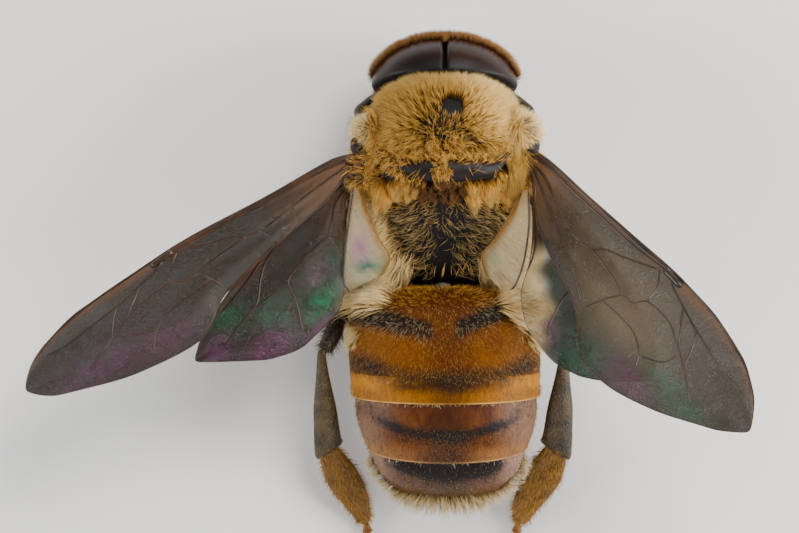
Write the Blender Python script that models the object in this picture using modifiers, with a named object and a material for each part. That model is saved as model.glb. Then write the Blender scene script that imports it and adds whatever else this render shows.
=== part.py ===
"""A honey bee drone, life size, standing on its six feet with both pairs of wings spread.

Sizes are in millimetres in the bee's own frame: +X is its left, -Y is forward, Z is the height
above the floor, and Y = 0 lies over the back of the thorax. The solids reach to the tips of the
fur. The last step moves the origin to the middle of the base of the whole bee.
"""
import math

import bmesh
import bpy
import numpy as np
from mathutils import Matrix, Vector

MM = 0.001
GAP = 0.12             # clearance between neighbouring solids
SIDES = {"left": 1, "right": -1}

# head: a frame that leans its crown forward, so that the mouth is tucked back
HEAD_CENTRE = Vector((0, -4.42, 3.05))
HEAD_LEAN = math.radians(15)
EYE_HALF = (2.33, 2.00)                 # half width and half height over both eyes
EYE_FRONT, EYE_BACK = 1.62, 0.50        # reach of the eyes' surface forward and back
EYE_PARTING = 0.05                      # half the slit between the eyes
EYE_FOOT, EYE_REAR = -1.42, -0.20       # where the eyes end below and behind
CAPSULE_HALF = (1.92, 1.80)
CAPSULE_FRONT, CAPSULE_BACK = 1.24, 0.42
CAPSULE_DROP = 0.12                     # the capsule sits this much lower than the eyes
FACE_CENTRE = Vector((0, -1.10, 1.60))  # an ellipsoid that parts the eyes over the face
FACE_HALF = (1.12, 1.48, 1.50)
FEELER_RADIUS = 0.25

# body rings, as (y, half width, top, widest level, bottom)
THORAX = (
    (-4.80, 0.90, 5.90, 5.60, 5.26),
    (-4.60, 1.48, 6.10, 5.60, 5.12),
    (-4.25, 1.95, 6.35, 5.50, 4.90),
    (-3.86, 2.25, 6.53, 5.10, 4.40),
    (-3.74, 2.34, 6.59, 4.40, 2.20),
    (-3.25, 2.58, 6.73, 4.00, 1.50),
    (-2.80, 2.92, 6.82, 3.80, 1.25),
    (-2.00, 3.05, 6.80, 3.70, 1.15),
    (-1.00, 3.12, 6.35, 3.60, 1.15),
    (0.00, 3.22, 5.65, 3.50, 1.25),
    (0.80, 3.22, 4.90, 3.45, 1.50),
    (1.35, 3.10, 4.35, 3.35, 1.80),
    (1.66, 2.70, 3.95, 3.25, 2.15),
    (1.80, 2.05, 3.70, 3.20, 2.50),
)
THORAX_RINGS = 22
THORAX_SIDES = 28
SCUTELLUM_CENTRE = Vector((-0.10, -1.72, 6.60))
SCUTELLUM_HALF = (1.42, 0.40, 0.36)
TEGULA_CENTRE = Vector((2.78, -2.55, 5.25))
TEGULA_HALF = (0.30, 0.42, 0.20)
WAIST_CENTRE = Vector((0, 1.87, 3.15))
WAIST_HALF = (0.32, 0.42, 0.32)
WAIST_POCKET = 0.14                     # the hollow left round the waist
NECK_CENTRE = Vector((0, -3.62, 3.30))
NECK_HALF = (0.42, 0.22)               # radius, half length

# abdomen rings, as (y of the middle, z of the middle, tilt in degrees, half width, half height)
ABDOMEN = (
    (1.95, 3.10, -4, 2.35, 1.15),
    (2.20, 3.05, -3, 2.90, 1.62),
    (3.00, 2.95, 0, 3.08, 2.02),
    (4.00, 2.86, 3, 3.08, 2.18),
    (5.10, 2.78, 6, 2.99, 2.18),
    (6.20, 2.66, 12, 2.83, 2.06),
    (6.95, 2.50, 17, 2.52, 1.86),
    (7.60, 2.30, 24, 2.15, 1.44),
    (8.00, 2.12, 28, 1.62, 0.98),
)
ABDOMEN_SHIFT = -0.03                   # sideways lean of the tip, per mm behind y = 4
PLATE_ENDS = (1.95, 3.20, 4.72, 5.36, 6.95, 8.00)
PLATE_STEP = 0.97                       # a plate starts this much smaller than the last one ends
ABDOMEN_SIDES = 24
TIP_RINGS = ((8.14, 2.06, 29, 1.55, 1.00), (8.50, 1.96, 29, 1.42, 0.86), (8.82, 1.86, 29, 0.98, 0.58),
             (8.98, 1.80, 29, 0.45, 0.28))

# wings, drawn in plan: x runs from root to tip and y towards the trailing edge
WING_THICK = 0.5
WING_COLUMNS, WING_ROWS = 13, 5
WINGS = {
    "forewing_left": {
        "root": (2.97, -1.94, 5.05), "heading": (0.823, 0.569), "rise": 0.02, "pitch": 0.42, "arch": 0.16,
        "lead": ((0.45, -0.36), (2.5, -0.57), (6.5, -0.98), (9.5, -1.00), (11.0, -0.75), (12.0, -0.32),
                 (12.25, -0.10)),
        "trail": ((0.45, 0.24), (1.0, 0.48), (3.5, 0.85), (5.5, 1.17), (7.1, 1.90), (9.0, 1.67),
                  (11.0, 1.02), (12.0, 0.60), (12.25, 0.34)),
    },
    "forewing_right": {
        "root": (-2.66, -2.09, 5.25), "heading": (-0.598, 0.765), "rise": 0.47, "pitch": 0.10, "arch": 0.14,
        "lead": ((0.55, -0.40), (2.0, -0.64), (4.0, -0.99), (6.0, -1.33), (7.5, -1.42), (9.0, -1.28),
                 (10.0, -0.87), (10.9, -0.10)),
        "trail": ((0.55, 0.30), (2.0, 1.22), (4.7, 1.92), (6.2, 2.76), (7.0, 2.65), (8.5, 2.02),
                  (10.0, 0.95), (10.9, 0.30)),
    },
    "hindwing_left": {
        "root": (3.06, -1.25, 4.35), "heading": (0.680, 0.733), "rise": 0.00, "pitch": 0.12, "arch": 0.08,
        "lead": ((0.35, -0.22), (2.0, -0.42), (3.3, -0.42), (4.3, -0.28), (6.5, -0.13), (7.2, 0.10)),
        "trail": ((0.35, 0.16), (1.0, 0.72), (2.1, 1.85), (3.2, 2.50), (4.5, 2.45), (5.5, 2.02),
                  (6.5, 1.12), (7.2, 0.50)),
    },
    "hindwing_right": {
        "root": (-2.72, -1.56, 4.60), "heading": (-0.5405, 0.8413), "rise": 0.30, "pitch": 0.12, "arch": 0.08,
        "lead": ((0.75, -0.38), (2.0, -0.60), (4.0, -0.62), (5.6, -0.45), (6.9, -0.17), (7.25, 0.10)),
        "trail": ((0.75, 0.10), (1.5, 0.62), (2.2, 1.45), (3.0, 2.35), (4.0, 2.70), (5.0, 2.65),
                  (5.9, 2.26), (6.6, 1.60), (7.25, 0.70)),
    },
}

# legs, as stations (x, y, z, half width, half depth) from the body outwards, for the left side
LIMB_SIDES = 8
FLOOR_SINK = 0.05                       # how much of a foot's round underside the floor cuts flat
PAD = 0.25 - FLOOR_SINK                 # height of a foot's middle line
LEGS = {
    "front": {
        "femur": ((0.85, -3.15, 1.20, 0.30, 0.28), (1.55, -3.10, 1.22, 0.30, 0.28),
                  (2.28, -3.04, 2.00, 0.32, 0.29), (2.70, -3.08, 2.84, 0.27, 0.27)),
        "tibia": ((2.72, -3.56, 2.33, 0.26, 0.26), (2.40, -3.82, 1.92, 0.28, 0.26),
                  (2.08, -4.06, 1.28, 0.28, 0.26)),
        "foot": ((2.00, -4.25, 0.88, 0.27, 0.25), (1.93, -4.48, 0.41, 0.26, 0.25),
                 (1.83, -4.78, PAD, 0.26, 0.25), (1.58, -5.26, PAD, 0.25, 0.25)),
    },
    "mid": {
        "femur": ((1.05, -1.50, 0.98, 0.30, 0.28), (1.75, -1.45, 1.02, 0.32, 0.28),
                  (2.45, -1.35, 1.62, 0.34, 0.28), (2.88, -1.25, 2.20, 0.28, 0.26)),
        "tibia": ((2.95, -0.78, 1.98, 0.26, 0.25), (2.90, -0.20, 1.48, 0.32, 0.27),
                  (2.80, 0.42, 0.92, 0.32, 0.26)),
        "foot": ((2.78, 0.76, 0.66, 0.28, 0.25), (2.74, 1.25, 0.30, 0.27, 0.25),
                 (2.70, 1.70, PAD, 0.26, 0.25), (2.62, 2.70, PAD, 0.25, 0.25)),
    },
    "hind": {
        "femur": ((1.15, 0.50, 1.05, 0.34, 0.30), (1.95, 1.00, 0.98, 0.36, 0.30),
                  (3.05, 2.35, 1.60, 0.40, 0.32), (3.66, 3.72, 2.55, 0.34, 0.30)),
        "tibia": ((3.80, 4.10, 2.62, 0.26, 0.25), (3.72, 5.20, 2.30, 0.38, 0.26),
                  (3.62, 6.30, 1.90, 0.46, 0.27), (3.56, 6.95, 1.62, 0.48, 0.27)),
        "foot": ((3.42, 7.32, 1.44, 0.46, 0.26), (3.12, 7.95, 1.06, 0.58, 0.27),
                 (2.72, 8.75, 0.58, 0.50, 0.26), (2.52, 9.28, 0.30, 0.27, 0.25),
                 (2.44, 9.75, PAD, 0.26, 0.25), (2.34, 10.75, PAD, 0.25, 0.25)),
    },
}
STANCE = {"hind_right": (0.20, 1.12)}    # the right hind leg lies closer in and turned more flatly
FLAT_SIDE = {
    "front": {"femur": (0.2, -1.0, 0.5), "tibia": (1.0, 0.0, 0.2), "foot": (1.0, 0.0, 0.2)},
    "mid": {"femur": (0.0, -1.0, 0.3), "tibia": (1.0, 0.0, 0.2), "foot": (1.0, 0.0, 0.2)},
    "hind": {"femur": (0.35, 0.0, 1.0), "tibia": (0.35, 0.0, 1.0), "foot": (0.35, 0.0, 1.0)},
}

COLOURS = {
    "fur_gold": (0.50, 0.36, 0.17, 1), "fur_cream": (0.72, 0.66, 0.52, 1), "shell_black": (0.03, 0.02, 0.02, 1),
    "shell_amber": (0.38, 0.19, 0.08, 1), "shell_grey": (0.20, 0.16, 0.14, 1), "eye_brown": (0.06, 0.03, 0.04, 1),
    "wing_smoke": (0.25, 0.20, 0.14, 1), "leg_olive": (0.14, 0.10, 0.06, 1), "foot_gold": (0.45, 0.27, 0.10, 1),
}


def clear_scene():
    for item in list(bpy.data.objects):
        bpy.data.objects.remove(item, do_unlink=True)


def collection(name):
    found = bpy.data.collections.get(name) or bpy.data.collections.new(name)
    if name not in bpy.context.scene.collection.children:
        bpy.context.scene.collection.children.link(found)
    return found


def material(name):
    found = bpy.data.materials.get(name)
    if found:
        return found
    found = bpy.data.materials.new(name)
    found.use_nodes = True
    shader = found.node_tree.nodes["Principled BSDF"]
    shader.inputs["Base Color"].default_value = COLOURS[name]
    glossy = name.startswith(("shell", "eye", "wing"))
    shader.inputs["Roughness"].default_value = 0.3 if glossy else 0.8
    shader.inputs["Metallic"].default_value = 0.0
    return found


def publish(shape, name, slot):
    """Turn a bmesh in millimetres into an object in metres. A slot of None makes a cutter."""
    bmesh.ops.recalc_face_normals(shape, faces=shape.faces)
    if shape.calc_volume(signed=True) < 0:
        bmesh.ops.reverse_faces(shape, faces=shape.faces)
    bmesh.ops.scale(shape, vec=(MM, MM, MM), verts=shape.verts)
    mesh = bpy.data.meshes.new(name)
    shape.to_mesh(mesh)
    shape.free()
    mesh.shade_smooth()
    piece = bpy.data.objects.new(name, mesh)
    if slot:
        mesh.materials.append(material(slot))
        collection("honey_bee_drone").objects.link(piece)
    else:
        collection("cutters").objects.link(piece)
        piece.hide_render = True
        piece.display_type = "WIRE"
    return piece


def smooth_curve(stations):
    """A smooth curve through (x, value) stations, which never overshoots them."""
    x, value = np.array(stations, float).T
    step = np.diff(x)
    rise = np.diff(value) / step
    slope = np.concatenate(([rise[0]], np.zeros(len(x) - 2), [rise[-1]]))
    for i in range(1, len(x) - 1):
        if rise[i - 1] * rise[i] > 0:
            slope[i] = 2 * rise[i - 1] * rise[i] / (rise[i - 1] + rise[i])

    def at(where):
        i = int(np.clip(np.searchsorted(x, where) - 1, 0, len(step) - 1))
        t = min(max((where - x[i]) / step[i], 0.0), 1.0)
        blend = t * t * (3 - 2 * t)
        bend = step[i] * t * (1 - t) * (slope[i] * (1 - t) - slope[i + 1] * t)
        return float(value[i] * (1 - blend) + value[i + 1] * blend + bend)

    return at


def column_curves(rows):
    """One smooth curve for each column after the first, over the first."""
    return [smooth_curve([(row[0], row[k]) for row in rows]) for k in range(1, len(rows[0]))]


def ring(centre, across, up, half_width, above, below, sides, squareness=2.0):
    """Points round a superellipse whose reaches above and below its widest level differ."""
    points = []
    for i in range(sides):
        turn = 2 * math.pi * (i + 0.5) / sides
        c, s = math.cos(turn), math.sin(turn)
        x = math.copysign(abs(c) ** (2 / squareness), c) * half_width
        z = math.copysign(abs(s) ** (2 / squareness), s) * (above if s > 0 else below)
        points.append(centre + x * across + z * up)
    return points


def loft(rings):
    """A closed skin over rings of equal count, with flat ends."""
    shape = bmesh.new()
    rows = [[shape.verts.new(point) for point in points] for points in rings]
    count = len(rows[0])
    for near, far in zip(rows, rows[1:]):
        for i in range(count):
            j = (i + 1) % count
            shape.faces.new((near[i], near[j], far[j], far[i]))
    shape.faces.new(rows[0])
    shape.faces.new(rows[-1])
    return shape


def limb(stations, flat_side, grow=0.0, floor=False):
    """A tapered member along (x, y, z, half width, half depth) stations, with rounded ends."""
    middle = [Vector(row[:3]) for row in stations]
    first, last = (middle[0] - middle[1]).normalized(), (middle[-1] - middle[-2]).normalized()
    rings = []

    def add(centre, along, half_width, half_depth):
        up = (flat_side - flat_side.dot(along) * along).normalized()
        rings.append(ring(centre, up.cross(along), up, half_width, half_depth, half_depth, LIMB_SIDES))

    end_depth = stations[0][4] + grow
    add(middle[0] + first * (0.35 * end_depth + grow), first, 0.6 * (stations[0][3] + grow), 0.6 * end_depth)
    for i, row in enumerate(stations):
        before, after = middle[max(i - 1, 0)], middle[min(i + 1, len(middle) - 1)]
        add(middle[i], (before - after).normalized(), row[3] + grow, row[4] + grow)
    end_depth = stations[-1][4] + grow
    add(middle[-1] + last * (0.35 * end_depth + grow), -last, 0.6 * (stations[-1][3] + grow), 0.6 * end_depth)
    if floor:
        for point in (point for points in rings for point in points):
            point.z = max(point.z, 0.0)
    return loft(rings)


def ellipsoid(centre, half, segments=16, rows=10, frame=Matrix.Identity(3)):
    """An ellipsoid whose poles lie on the frame's second axis."""
    shape = bmesh.new()
    bmesh.ops.create_uvsphere(shape, u_segments=segments, v_segments=rows, radius=1.0)
    for vert in shape.verts:
        x, y, z = vert.co
        vert.co = centre + frame @ Vector((x * half[0], z * half[1], -y * half[2]))
    return shape


def placed(stations, side, stance=(0.0, 1.0)):
    """Stations for one side. A stance is how far that leg lies inward, and how broadly it shows."""
    inward, broad = stance
    return [((row[0] - inward) * side, row[1], row[2], row[3] * broad, row[4]) for row in stations]


def carve(piece, cutters):
    """Cut each cutter out of the piece."""
    for cutter in cutters:
        cut = piece.modifiers.new("cut", "BOOLEAN")
        cut.operation = "DIFFERENCE"
        cut.solver = "EXACT"
        cut.object = cutter


def head_frame():
    """Columns: sideways, up the face, and out of the face."""
    lean = HEAD_LEAN
    up = Vector((0, -math.sin(lean), math.cos(lean)))
    out = Vector((0, -math.cos(lean), -math.sin(lean)))
    return Matrix((Vector((1, 0, 0)), up, out)).transposed()


def on_head(u, v, w):
    return HEAD_CENTRE + head_frame() @ Vector((u, v, w))


def head_shell(half, front, back, drop, segments, rows):
    """An ellipsoid in the head's frame, deeper towards the face than towards the neck."""
    shape = ellipsoid(Vector((0, 0, 0)), (*half, 1.0), segments, rows)
    for vert in shape.verts:
        vert.co.z *= front if vert.co.z > 0 else back
        vert.co = on_head(vert.co.x, vert.co.y - drop, vert.co.z)
    return shape


def eye_shape(side):
    """One side of the shell that the eyes share, before the capsule and the face are cut from it."""
    shape = head_shell(EYE_HALF, EYE_FRONT, EYE_BACK, 0.0, 26, 14)
    face_up, face_out = head_frame().col[1], head_frame().col[2]
    borders = ((Vector((side * EYE_PARTING, 0, 0)), Vector((-side, 0, 0))),
               (on_head(0, EYE_FOOT, 0), -face_up),
               (on_head(0, 0, EYE_REAR), -face_out))
    for point, outward in borders:
        everything = shape.verts[:] + shape.edges[:] + shape.faces[:]
        bmesh.ops.bisect_plane(shape, geom=everything, plane_co=point, plane_no=outward, clear_outer=True)
        bmesh.ops.holes_fill(shape, edges=shape.edges, sides=0)
    return shape


def neck_shape(grow):
    shape = bmesh.new()
    radius = NECK_HALF[0] + grow
    bmesh.ops.create_cone(shape, cap_ends=True, segments=16, radius1=radius, radius2=radius,
                          depth=2 * (NECK_HALF[1] + grow))
    lie_along_y = Matrix.Translation(NECK_CENTRE) @ Matrix.Rotation(math.pi / 2, 4, "X")
    bmesh.ops.transform(shape, matrix=lie_along_y, verts=shape.verts)
    return shape


def build_head():
    """The head and neck. Returns the cutter that makes room for the neck in the thorax."""
    publish(head_shell(CAPSULE_HALF, CAPSULE_FRONT, CAPSULE_BACK, CAPSULE_DROP, 22, 12), "head", "shell_black")
    grown = [half + GAP for half in CAPSULE_HALF]
    room = head_shell(grown, CAPSULE_FRONT + GAP, CAPSULE_BACK + GAP, CAPSULE_DROP, 22, 12)
    face = ellipsoid(on_head(*FACE_CENTRE), FACE_HALF, 18, 10, head_frame())
    cutters = [publish(room, "cut_head", None), publish(face, "cut_face", None)]
    for name, side in SIDES.items():
        carve(publish(eye_shape(side), f"eye_{name}", "eye_brown"), cutters)
        feeler = [on_head(side * u, v, w) for u, v, w in
                  ((0.36, -0.35, 1.60), (0.50, -0.95, 1.62), (0.80, -1.52, 1.40), (1.14, -2.04, 0.94),
                   (1.38, -2.34, 0.40))]
        feeler += [Vector((side * 1.44, -3.70, 0.60)), Vector((side * 1.34, -2.75, 0.56))]
        stations = [(*point, FEELER_RADIUS, FEELER_RADIUS) for point in feeler]
        publish(limb(stations, Vector((0, 0.2, 1))), f"antenna_{name}", "leg_olive")
        jaw = ellipsoid(on_head(side * 0.40, -2.30, 0.38), (0.25, 0.32, 0.25), 10, 6, head_frame())
        publish(jaw, f"mandible_{name}", "leg_olive")
    tongue = ((0, -3.72, 0.94, 0.26, 0.26), (0, -3.30, 0.88, 0.28, 0.26), (0, -2.75, 0.80, 0.25, 0.25))
    publish(limb(tongue, Vector((0, 0, 1))), "proboscis", "leg_olive")
    publish(neck_shape(0.0), "neck", "shell_black")
    return publish(neck_shape(GAP), "cut_neck", None)


def build_thorax():
    half_width, top, level, bottom = column_curves(THORAX)
    rings = []
    for y in np.linspace(THORAX[0][0], THORAX[-1][0], THORAX_RINGS).tolist():
        centre = Vector((0, y, level(y)))
        rings.append(ring(centre, Vector((1, 0, 0)), Vector((0, 0, 1)), half_width(y), top(y) - level(y),
                          level(y) - bottom(y), THORAX_SIDES))
    thorax = publish(loft(rings), "thorax", "fur_gold")
    publish(ellipsoid(SCUTELLUM_CENTRE, SCUTELLUM_HALF, 18, 8), "scutellum", "shell_black")
    grown = [half + GAP for half in SCUTELLUM_HALF]
    cutters = [publish(ellipsoid(SCUTELLUM_CENTRE, grown, 18, 8), "cut_scutellum", None)]
    for name, side in SIDES.items():
        centre = Vector((side * TEGULA_CENTRE.x, *TEGULA_CENTRE[1:]))
        publish(ellipsoid(centre, TEGULA_HALF, 10, 6), f"tegula_{name}", "shell_black")
        grown = [half + GAP for half in TEGULA_HALF]
        cutters.append(publish(ellipsoid(centre, grown, 10, 6), f"cut_tegula_{name}", None))
    return thorax, cutters


def build_waist():
    publish(ellipsoid(WAIST_CENTRE, WAIST_HALF, 14, 8), "waist", "shell_black")
    pocket = [half + WAIST_POCKET for half in WAIST_HALF]
    return publish(ellipsoid(WAIST_CENTRE, pocket, 16, 10), "cut_waist", None)


def abdomen_ring(y, values, scale=1.0):
    height, tilt, half_width, half_height = values
    tilt = math.radians(tilt)
    up = Vector((0, math.sin(tilt), math.cos(tilt)))
    centre = Vector((ABDOMEN_SHIFT * max(y - 4, 0), y, height))
    return ring(centre, Vector((1, 0, 0)), up, half_width * scale, half_height * scale,
                half_height * scale, ABDOMEN_SIDES, 2.15)


def build_abdomen(front_cutters):
    curves = column_curves(ABDOMEN)
    slots = ("fur_cream", "shell_amber", "shell_grey", "shell_amber", "shell_grey")
    for number, (start, end) in enumerate(zip(PLATE_ENDS, PLATE_ENDS[1:]), 1):
        first = start + (GAP if number > 1 else 0)
        rings = []
        for y in np.linspace(first, end, 4 + round((end - start) * 1.5)).tolist():
            ease = min((y - first) / 0.5, 1.0) if number > 1 else 1.0
            scale = PLATE_STEP + (1 - PLATE_STEP) * ease
            rings.append(abdomen_ring(y, [at(y) for at in curves], scale))
        plate = publish(loft(rings), f"abdomen_{number}", slots[number - 1])
        if number == 1:
            carve(plate, front_cutters)
    rings = [abdomen_ring(row[0], row[1:]) for row in TIP_RINGS]
    publish(loft(rings), "abdomen_tip", "fur_cream")


def build_wing(name, wing):
    """A cambered sheet over the plan outline, thickened to a solid."""
    root = Vector(wing["root"])
    along = Vector((*wing["heading"], 0))
    side = SIDES[name.split("_")[1]]
    back = Vector((-along.y, along.x, 0)) * side
    lead, trail = smooth_curve(wing["lead"]), smooth_curve(wing["trail"])
    start, end = wing["lead"][0][0], wing["lead"][-1][0]
    shape = bmesh.new()
    rows = []
    for i in range(WING_COLUMNS + 1):
        x = start + (end - start) * math.sin(0.5 * math.pi * i / WING_COLUMNS) ** 1.2
        near, far = lead(x), trail(x)
        row = []
        for j in range(WING_ROWS + 1):
            t = j / WING_ROWS
            y = near + (far - near) * t
            height = wing["rise"] * x + wing["pitch"] * min(x / 3, 1.0) * y
            height += wing["arch"] * (1 - (2 * t - 1) ** 2) * min(x / 3, 1.0)
            row.append(shape.verts.new(root + x * along + y * back + height * Vector((0, 0, 1))))
        rows.append(row)
    for near_row, far_row in zip(rows, rows[1:]):
        for j in range(WING_ROWS):
            shape.faces.new((near_row[j], far_row[j], far_row[j + 1], near_row[j + 1]))
    piece = publish(shape, name, "wing_smoke")
    shell = piece.modifiers.new("thickness", "SOLIDIFY")
    shell.thickness = WING_THICK * MM
    shell.offset = 0.0


def build_legs():
    """Six legs of three members each. Returns the cutters that make room for them in the thorax."""
    cutters = []
    for pair, members in LEGS.items():
        for name, side in SIDES.items():
            stance = STANCE.get(f"{pair}_{name}", (0.0, 1.0))
            for member, stations in members.items():
                x, y, z = FLAT_SIDE[pair][member]
                flat_side = Vector((x * side, y, z))
                slot = "foot_gold" if member == "foot" else "leg_olive"
                shape = limb(placed(stations, side, stance), flat_side, floor=member == "foot")
                publish(shape, f"{pair}_{member}_{name}", slot)
                if member == "femur":
                    room = limb(placed(stations, side, stance), flat_side, grow=GAP)
                    cutters.append(publish(room, f"cut_{pair}_{name}", None))
    return cutters


def settle_origin():
    """Move everything so that the origin is the middle of the base of the bounding box."""
    pieces = collection("honey_bee_drone").objects
    seen = bpy.context.evaluated_depsgraph_get()
    corners = [Vector(corner) for piece in pieces for corner in piece.evaluated_get(seen).bound_box]
    low = [min(corner[k] for corner in corners) for k in range(3)]
    high = [max(corner[k] for corner in corners) for k in range(3)]
    shift = Matrix.Translation((-(low[0] + high[0]) / 2, -(low[1] + high[1]) / 2, -low[2]))
    for mesh in {piece.data for piece in list(pieces) + list(collection("cutters").objects)}:
        mesh.transform(shift)


def main():
    clear_scene()
    neck_socket = build_head()
    thorax, thorax_cutters = build_thorax()
    pocket = build_waist()
    leg_cutters = build_legs()
    build_abdomen([pocket] + leg_cutters[-2:])
    for name, wing in WINGS.items():
        build_wing(name, wing)
    carve(thorax, thorax_cutters + [neck_socket, pocket] + leg_cutters)
    settle_origin()


main()
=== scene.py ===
import math

import bpy
import numpy as np
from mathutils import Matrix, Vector
from mathutils.kdtree import KDTree


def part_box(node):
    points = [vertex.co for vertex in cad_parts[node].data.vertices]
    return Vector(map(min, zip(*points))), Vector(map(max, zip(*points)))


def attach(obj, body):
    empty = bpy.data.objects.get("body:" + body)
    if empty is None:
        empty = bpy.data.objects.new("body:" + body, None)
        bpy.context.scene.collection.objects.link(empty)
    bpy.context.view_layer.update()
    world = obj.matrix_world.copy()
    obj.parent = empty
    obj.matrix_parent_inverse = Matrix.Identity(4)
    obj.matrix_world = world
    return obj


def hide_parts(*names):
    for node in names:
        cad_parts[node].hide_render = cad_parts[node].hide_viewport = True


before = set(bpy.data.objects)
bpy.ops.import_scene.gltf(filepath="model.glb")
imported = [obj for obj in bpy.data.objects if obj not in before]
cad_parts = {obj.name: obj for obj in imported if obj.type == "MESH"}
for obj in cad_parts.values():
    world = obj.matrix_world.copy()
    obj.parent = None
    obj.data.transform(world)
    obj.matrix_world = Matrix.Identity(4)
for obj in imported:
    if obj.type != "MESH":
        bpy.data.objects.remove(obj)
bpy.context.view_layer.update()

# The bee is modelled in millimetres in its own frame: +X to its left, -Y forward, Z up from the
# floor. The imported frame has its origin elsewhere, and the neck's box tells how far.
MM = 0.001
NECK_CENTRE = np.array((0, -3.62, 3.30))
neck_low, neck_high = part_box("neck")
SHIFT = np.array((neck_low + neck_high) / 2) / MM - NECK_CENTRE
SIDES = {"left": 1, "right": -1}
RANDOM = np.random.default_rng(7)

# ---------------------------------------------------------------- numbers and shapes


def smooth_curve(stations):
    """A smooth curve through (x, value, ...) stations, which never overshoots them."""
    table = np.array(stations, float)
    x, value = table[:, 0], table[:, 1:]
    step = np.diff(x)
    rise = np.diff(value, axis=0) / step[:, None]
    slope = np.zeros_like(value)
    slope[0], slope[-1] = rise[0], rise[-1]
    before, after = rise[:-1], rise[1:]
    same = before * after > 0
    total = np.where(same, before + after, 1.0)
    slope[1:-1] = np.where(same, 2 * before * after / total, 0.0)

    def at(where):
        where = np.asarray(where, float)
        i = np.clip(np.searchsorted(x, where) - 1, 0, len(step) - 1)
        t = np.clip((where - x[i]) / step[i], 0, 1)[..., None]
        blend = t * t * (3 - 2 * t)
        bend = step[i][..., None] * t * (1 - t) * (slope[i] * (1 - t) - slope[i + 1] * t)
        found = value[i] * (1 - blend) + value[i + 1] * blend + bend
        return found[..., 0] if found.shape[-1] == 1 else found

    return at


def run_along(line):
    """How far along a line each of its points lies."""
    return np.concatenate(([0], np.cumsum(np.linalg.norm(np.diff(line, axis=0), axis=1))))


def smooth_line(points, count):
    """Evenly spaced places on a smooth line through points."""
    table = np.array(points, float)
    run = run_along(table)
    return smooth_curve(np.column_stack((run, table)))(np.linspace(0, run[-1], count))


def unit(vectors):
    return vectors / np.maximum(np.linalg.norm(vectors, axis=-1, keepdims=True), 1e-9)


def bell(x, centre, width):
    return np.exp(-(((x - centre) / width) ** 2))


def step_up(x, low, high):
    t = np.clip((x - low) / (high - low), 0, 1)
    return t * t * (3 - 2 * t)


def grid_faces(rows, columns, closed):
    """Triangles over a grid of points, which may close round each row."""
    i = np.arange(rows - 1)[:, None]
    j = np.arange(columns if closed else columns - 1)[None, :]
    a = i * columns + j
    b = i * columns + (j + 1) % columns
    quads = np.stack((a, b, b + columns, a + columns), -1).reshape(-1, 4)
    return np.concatenate((quads[:, [0, 1, 2]], quads[:, [0, 2, 3]]))


def capped(rings):
    """Points and triangles of a closed skin over an array of rings, with a fan at each end."""
    rows, columns, _ = rings.shape
    points = np.concatenate((rings.reshape(-1, 3), [rings[0].mean(0)], [rings[-1].mean(0)]))
    j = np.arange(columns)
    k = (j + 1) % columns
    first = np.stack((k, j, np.full(columns, rows * columns)), -1)
    last = (rows - 1) * columns
    final = np.stack((last + j, last + k, np.full(columns, rows * columns + 1)), -1)
    return points, np.concatenate((grid_faces(rows, columns, True), first, final))


def joined(parts):
    """One set of points and triangles from several."""
    points, faces, start = [], [], 0
    for some_points, some_faces in parts:
        points.append(some_points)
        faces.append(some_faces + start)
        start += len(some_points)
    return np.concatenate(points), np.concatenate(faces)


def both_faces(rows):
    """Shares of the way across a thin sheet, over its top and back below it, and 1 or -1 for the face."""
    share = np.linspace(0, 1, rows)
    return np.concatenate((share, share[::-1])), np.repeat((1.0, -1.0), rows)


def superellipse(count, squareness=2.0):
    """Places round a unit circle, or round a squarer ring."""
    turn = 2 * np.pi * np.arange(count) / count
    c, s = np.cos(turn), np.sin(turn)
    power = 2 / squareness
    return np.sign(c) * np.abs(c) ** power, np.sign(s) * np.abs(s) ** power


def sweep(stations, flat_side, sides=16, steps=24, ends=0.7, profile=None):
    """A limb along (x, y, z, half width, half depth) stations, with rounded ends."""
    stations = np.array(stations, float)
    run = run_along(stations[:, :3])
    at = smooth_curve(np.column_stack((run, stations)))
    length = run[-1]
    cap = np.clip(ends * stations[[0, -1], 4], 0, 0.3 * length)
    turn = np.linspace(0, np.pi / 2, 5)[:-1]
    starts = cap[0] * (1 - np.cos(turn))
    stops = length - cap[1] * (1 - np.cos(turn[::-1]))
    where = np.concatenate((starts, np.linspace(cap[0], length - cap[1], steps), stops))
    dome = 0.04 + 0.96 * np.sin(turn)
    scale = np.concatenate((dome, np.ones(steps), dome[::-1]))
    rows = at(where)
    if profile is not None:
        scale = scale * profile(where / length)
    along = unit(np.gradient(rows[:, :3], axis=0))
    up = np.asarray(flat_side, float)
    up = unit(up - (along @ up)[:, None] * along)
    across = np.cross(up, along)
    c, s = superellipse(sides)
    rings = (rows[:, None, :3] + across[:, None] * (c[None, :, None] * (rows[:, 3] * scale)[:, None, None])
             + up[:, None] * (s[None, :, None] * (rows[:, 4] * scale)[:, None, None]))
    return capped(rings)


def normals_of(points, faces):
    corner = points[faces]
    face = np.cross(corner[:, 1] - corner[:, 0], corner[:, 2] - corner[:, 0])
    normal = np.zeros_like(points)
    for k in range(3):
        np.add.at(normal, faces[:, k], face)
    return unit(normal)


def face_areas(points, faces):
    corner = points[faces]
    return 0.5 * np.linalg.norm(np.cross(corner[:, 1] - corner[:, 0], corner[:, 2] - corner[:, 0]), axis=1)


# ---------------------------------------------------------------- pieces


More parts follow.
